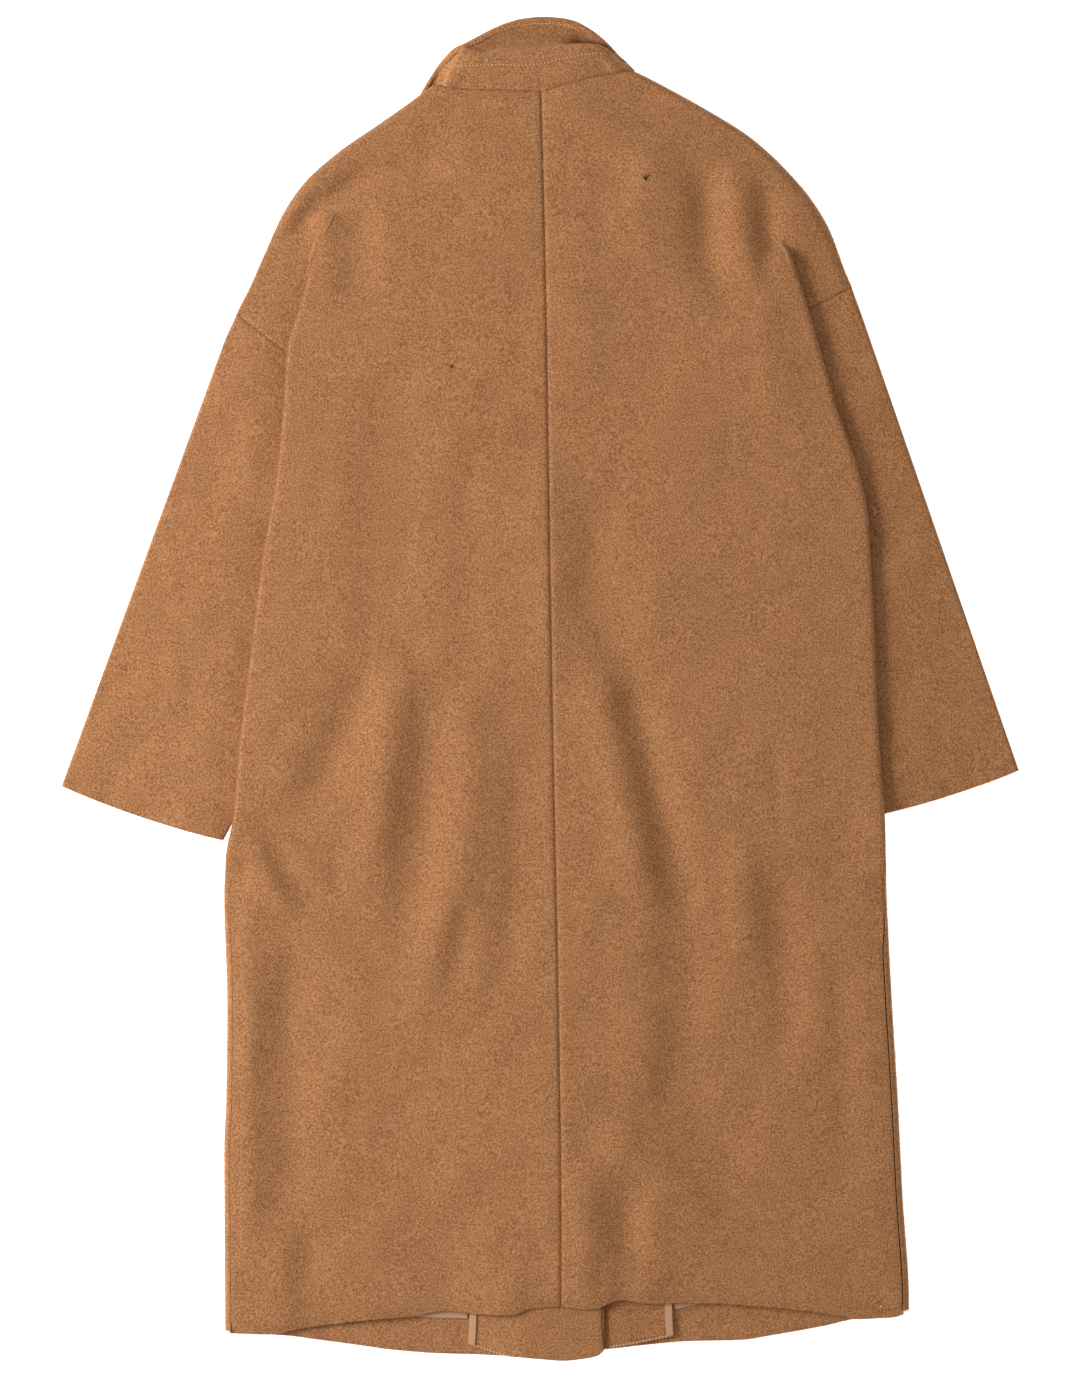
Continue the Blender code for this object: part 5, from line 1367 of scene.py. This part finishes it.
WOOL = wool_finish("wool_coating")
WOOL_BACK = wool_finish("wool_coating_back", HOLES)
TAPE = tape_finish()
THREAD = thread_finish()
FIBRE = fibre_finish()
FLUFF = lint_finish()

# Cloth pieces, each woven from its rows of points, with the solid it stands for hidden
draws = np.random.default_rng(11)
backs = [back_rows(half) for half in (LEFT, RIGHT)]


for half, back_points in zip((LEFT, RIGHT), backs):
    name = half.name
    back = woven("back_panel_" + name, [back_points], CLOTH, WOOL_BACK)
    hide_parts("back_" + name)
    rows = front_rows(half)
    front = woven("front_panel_" + name, [rows, turned_hem(half, rows[-1])], CLOTH, WOOL)
    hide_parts("front_" + name)
    sleeve = woven("sleeve_tube_" + name, [sleeve_rows(half, 110)], CLOTH, WOOL)
    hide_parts("sleeve_" + name)
    facing = woven("front_facing_" + name, [facing_rows(half)], CLOTH, WOOL)
    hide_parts("facing_" + name)
    binding = woven("facing_binding_" + name, [facing_tape_rows(half)], TAPE_CLOTH, TAPE)
    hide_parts("facing_tape_" + name)
    hem_binding = woven("hem_binding_" + name, [hem_tape_rows(half)], TAPE_CLOTH, TAPE)
    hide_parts("hem_tape_" + name)
    x = np.linspace(*(LEFT_FACING_SEWN if half.hand < 0 else RIGHT_FACING_SEWN), 40)
    z = facing_height(half, x, HEM_LEVEL) + CLOTH / 2 + SEWN_LIFT
    foot = np.stack([x, half.facing_hem(x) + SEWN_INSET, z], 1)
    foot_line = stitches("facing_edge_" + name, foot, *FACING_STITCH, TAPE, "tape")
    fuzz = nap(back, 21 + half.hand)
    sleeve_fuzz = nap(sleeve, 31 + half.hand)
    edge_fuzz = fringe("edge_nap_" + name, edge_routes(half), draws)
    under = ["floor"] if half.hand > 0 else ["floor", "front_panel_right"]

fall_net = fall_rows()
fall_points = fall_net[..., :3]
stand = woven("collar_band", [stand_rows(neck_edge(backs))], COLLAR_CLOTH, WOOL)
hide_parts("collar_stand")
fall = woven("collar_top", [fall_net], COLLAR_CLOTH, WOOL)
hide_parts("collar_fall")
sewn = slice(int(STITCHED_FROM * COLLAR_ROW_STEPS), int(STITCHED_TO * COLLAR_ROW_STEPS))
seam_route = fall_points[sewn, 0] + (0, 0, COLLAR_CLOTH / 2 + 0.0002)
stand_seam = stitches("stand_stitches", seam_route, *STITCH, THREAD, "wool")
edged = slice(int(EDGE_STITCHED_FROM * COLLAR_ROW_STEPS), int(EDGE_STITCHED_TO * COLLAR_ROW_STEPS))
edge_route = []
for row in fall_points[edged]:
    inside = runs_along(row[::-1])
    edge_route.append([np.interp(BAND_WIDTH, inside, row[::-1, i]) for i in range(3)])
edge_route = np.array(edge_route) + (0, 0, COLLAR_CLOTH / 2 + 0.0001)
edge_seam = stitches("collar_edge_stitches", edge_route, *STITCH, THREAD, "wool")
rim = slice(RIM_FROM * COLLAR_ROW_STEPS, RIM_TO * COLLAR_ROW_STEPS)
collar_fuzz = fringe("collar_edge_nap", [(fall_points[rim, -1], (0.0, 1.0), FIBRES_ON_EDGE)], draws)
stand_fuzz = nap(stand, 41)
fall_fuzz = nap(fall, 42)
threads = strands("loose_threads", THREADS, THREAD_RADIUS, THREAD)
lint = specks("lint_specks", LINT, FLUFF)

# Floor, light and camera
FLOOR_SIZE, FLOOR_DROP = 6.0, 0.001
floor_net = bmesh.new()
bmesh.ops.create_grid(floor_net, x_segments=1, y_segments=1, size=FLOOR_SIZE / 2)
bmesh.ops.translate(floor_net, verts=floor_net.verts, vec=(0, 0, -FLOOR_DROP))
floor_mesh = bpy.data.meshes.new("floor")
floor_net.to_mesh(floor_mesh)
floor_net.free()
floor = bpy.data.objects.new("floor", floor_mesh)
bpy.context.scene.collection.objects.link(floor)
floor_mesh.materials.append(Finish("pale_floor").looks({
    "Base Color": (0.92, 0.92, 0.92, 1.0), "Roughness": 0.9,
    "Emission Color": (1.0, 1.0, 1.0, 1.0), "Emission Strength": 0.9,
}))


def lamp(name, place, target, size, power):
    """A soft square lamp that points at a target."""
    light = bpy.data.lights.new(name, "AREA")
    light.shape = "SQUARE"
    light.size = size
    light.energy = power
    holder = bpy.data.objects.new(name, light)
    holder.location = place
    holder.rotation_euler = (Vector(target) - Vector(place)).to_track_quat("-Z", "Y").to_euler()
    bpy.context.scene.collection.objects.link(holder)


lamp("key", (-2.5, 0.30, 1.40), (0.0, 0.0, 0.0), 1.4, 90.5)
world = bpy.data.worlds.new("studio")
world.use_nodes = True
world.node_tree.nodes["Background"].inputs["Color"].default_value = (1.0, 1.0, 1.0, 1.0)
world.node_tree.nodes["Background"].inputs["Strength"].default_value = 0.47
bpy.context.scene.world = world
bpy.context.scene.view_settings.view_transform = "Standard"

# The photo's frame: 1080 by 1378 pixels of 0.9 mm, the coat's origin at (541, 688.5)
PIXEL = 0.0009
FRAME_WIDTH, FRAME_HEIGHT = 1080, 1378
ORIGIN_PIXEL = (541.0, 688.5)
CAMERA_HEIGHT = 5.0
SENSOR = 36.0
camera = bpy.data.objects.new("camera", bpy.data.cameras.new("camera"))
camera.data.sensor_width = SENSOR
camera.data.sensor_fit = "VERTICAL"
camera.data.sensor_height = SENSOR
camera.data.lens = SENSOR * (CAMERA_HEIGHT - 0.008) / (FRAME_HEIGHT * PIXEL)
camera.location = (
    (FRAME_WIDTH / 2 - ORIGIN_PIXEL[0]) * PIXEL,
    (ORIGIN_PIXEL[1] - FRAME_HEIGHT / 2) * PIXEL,
    CAMERA_HEIGHT,
)
bpy.context.scene.collection.objects.link(camera)
bpy.context.scene.camera = camera
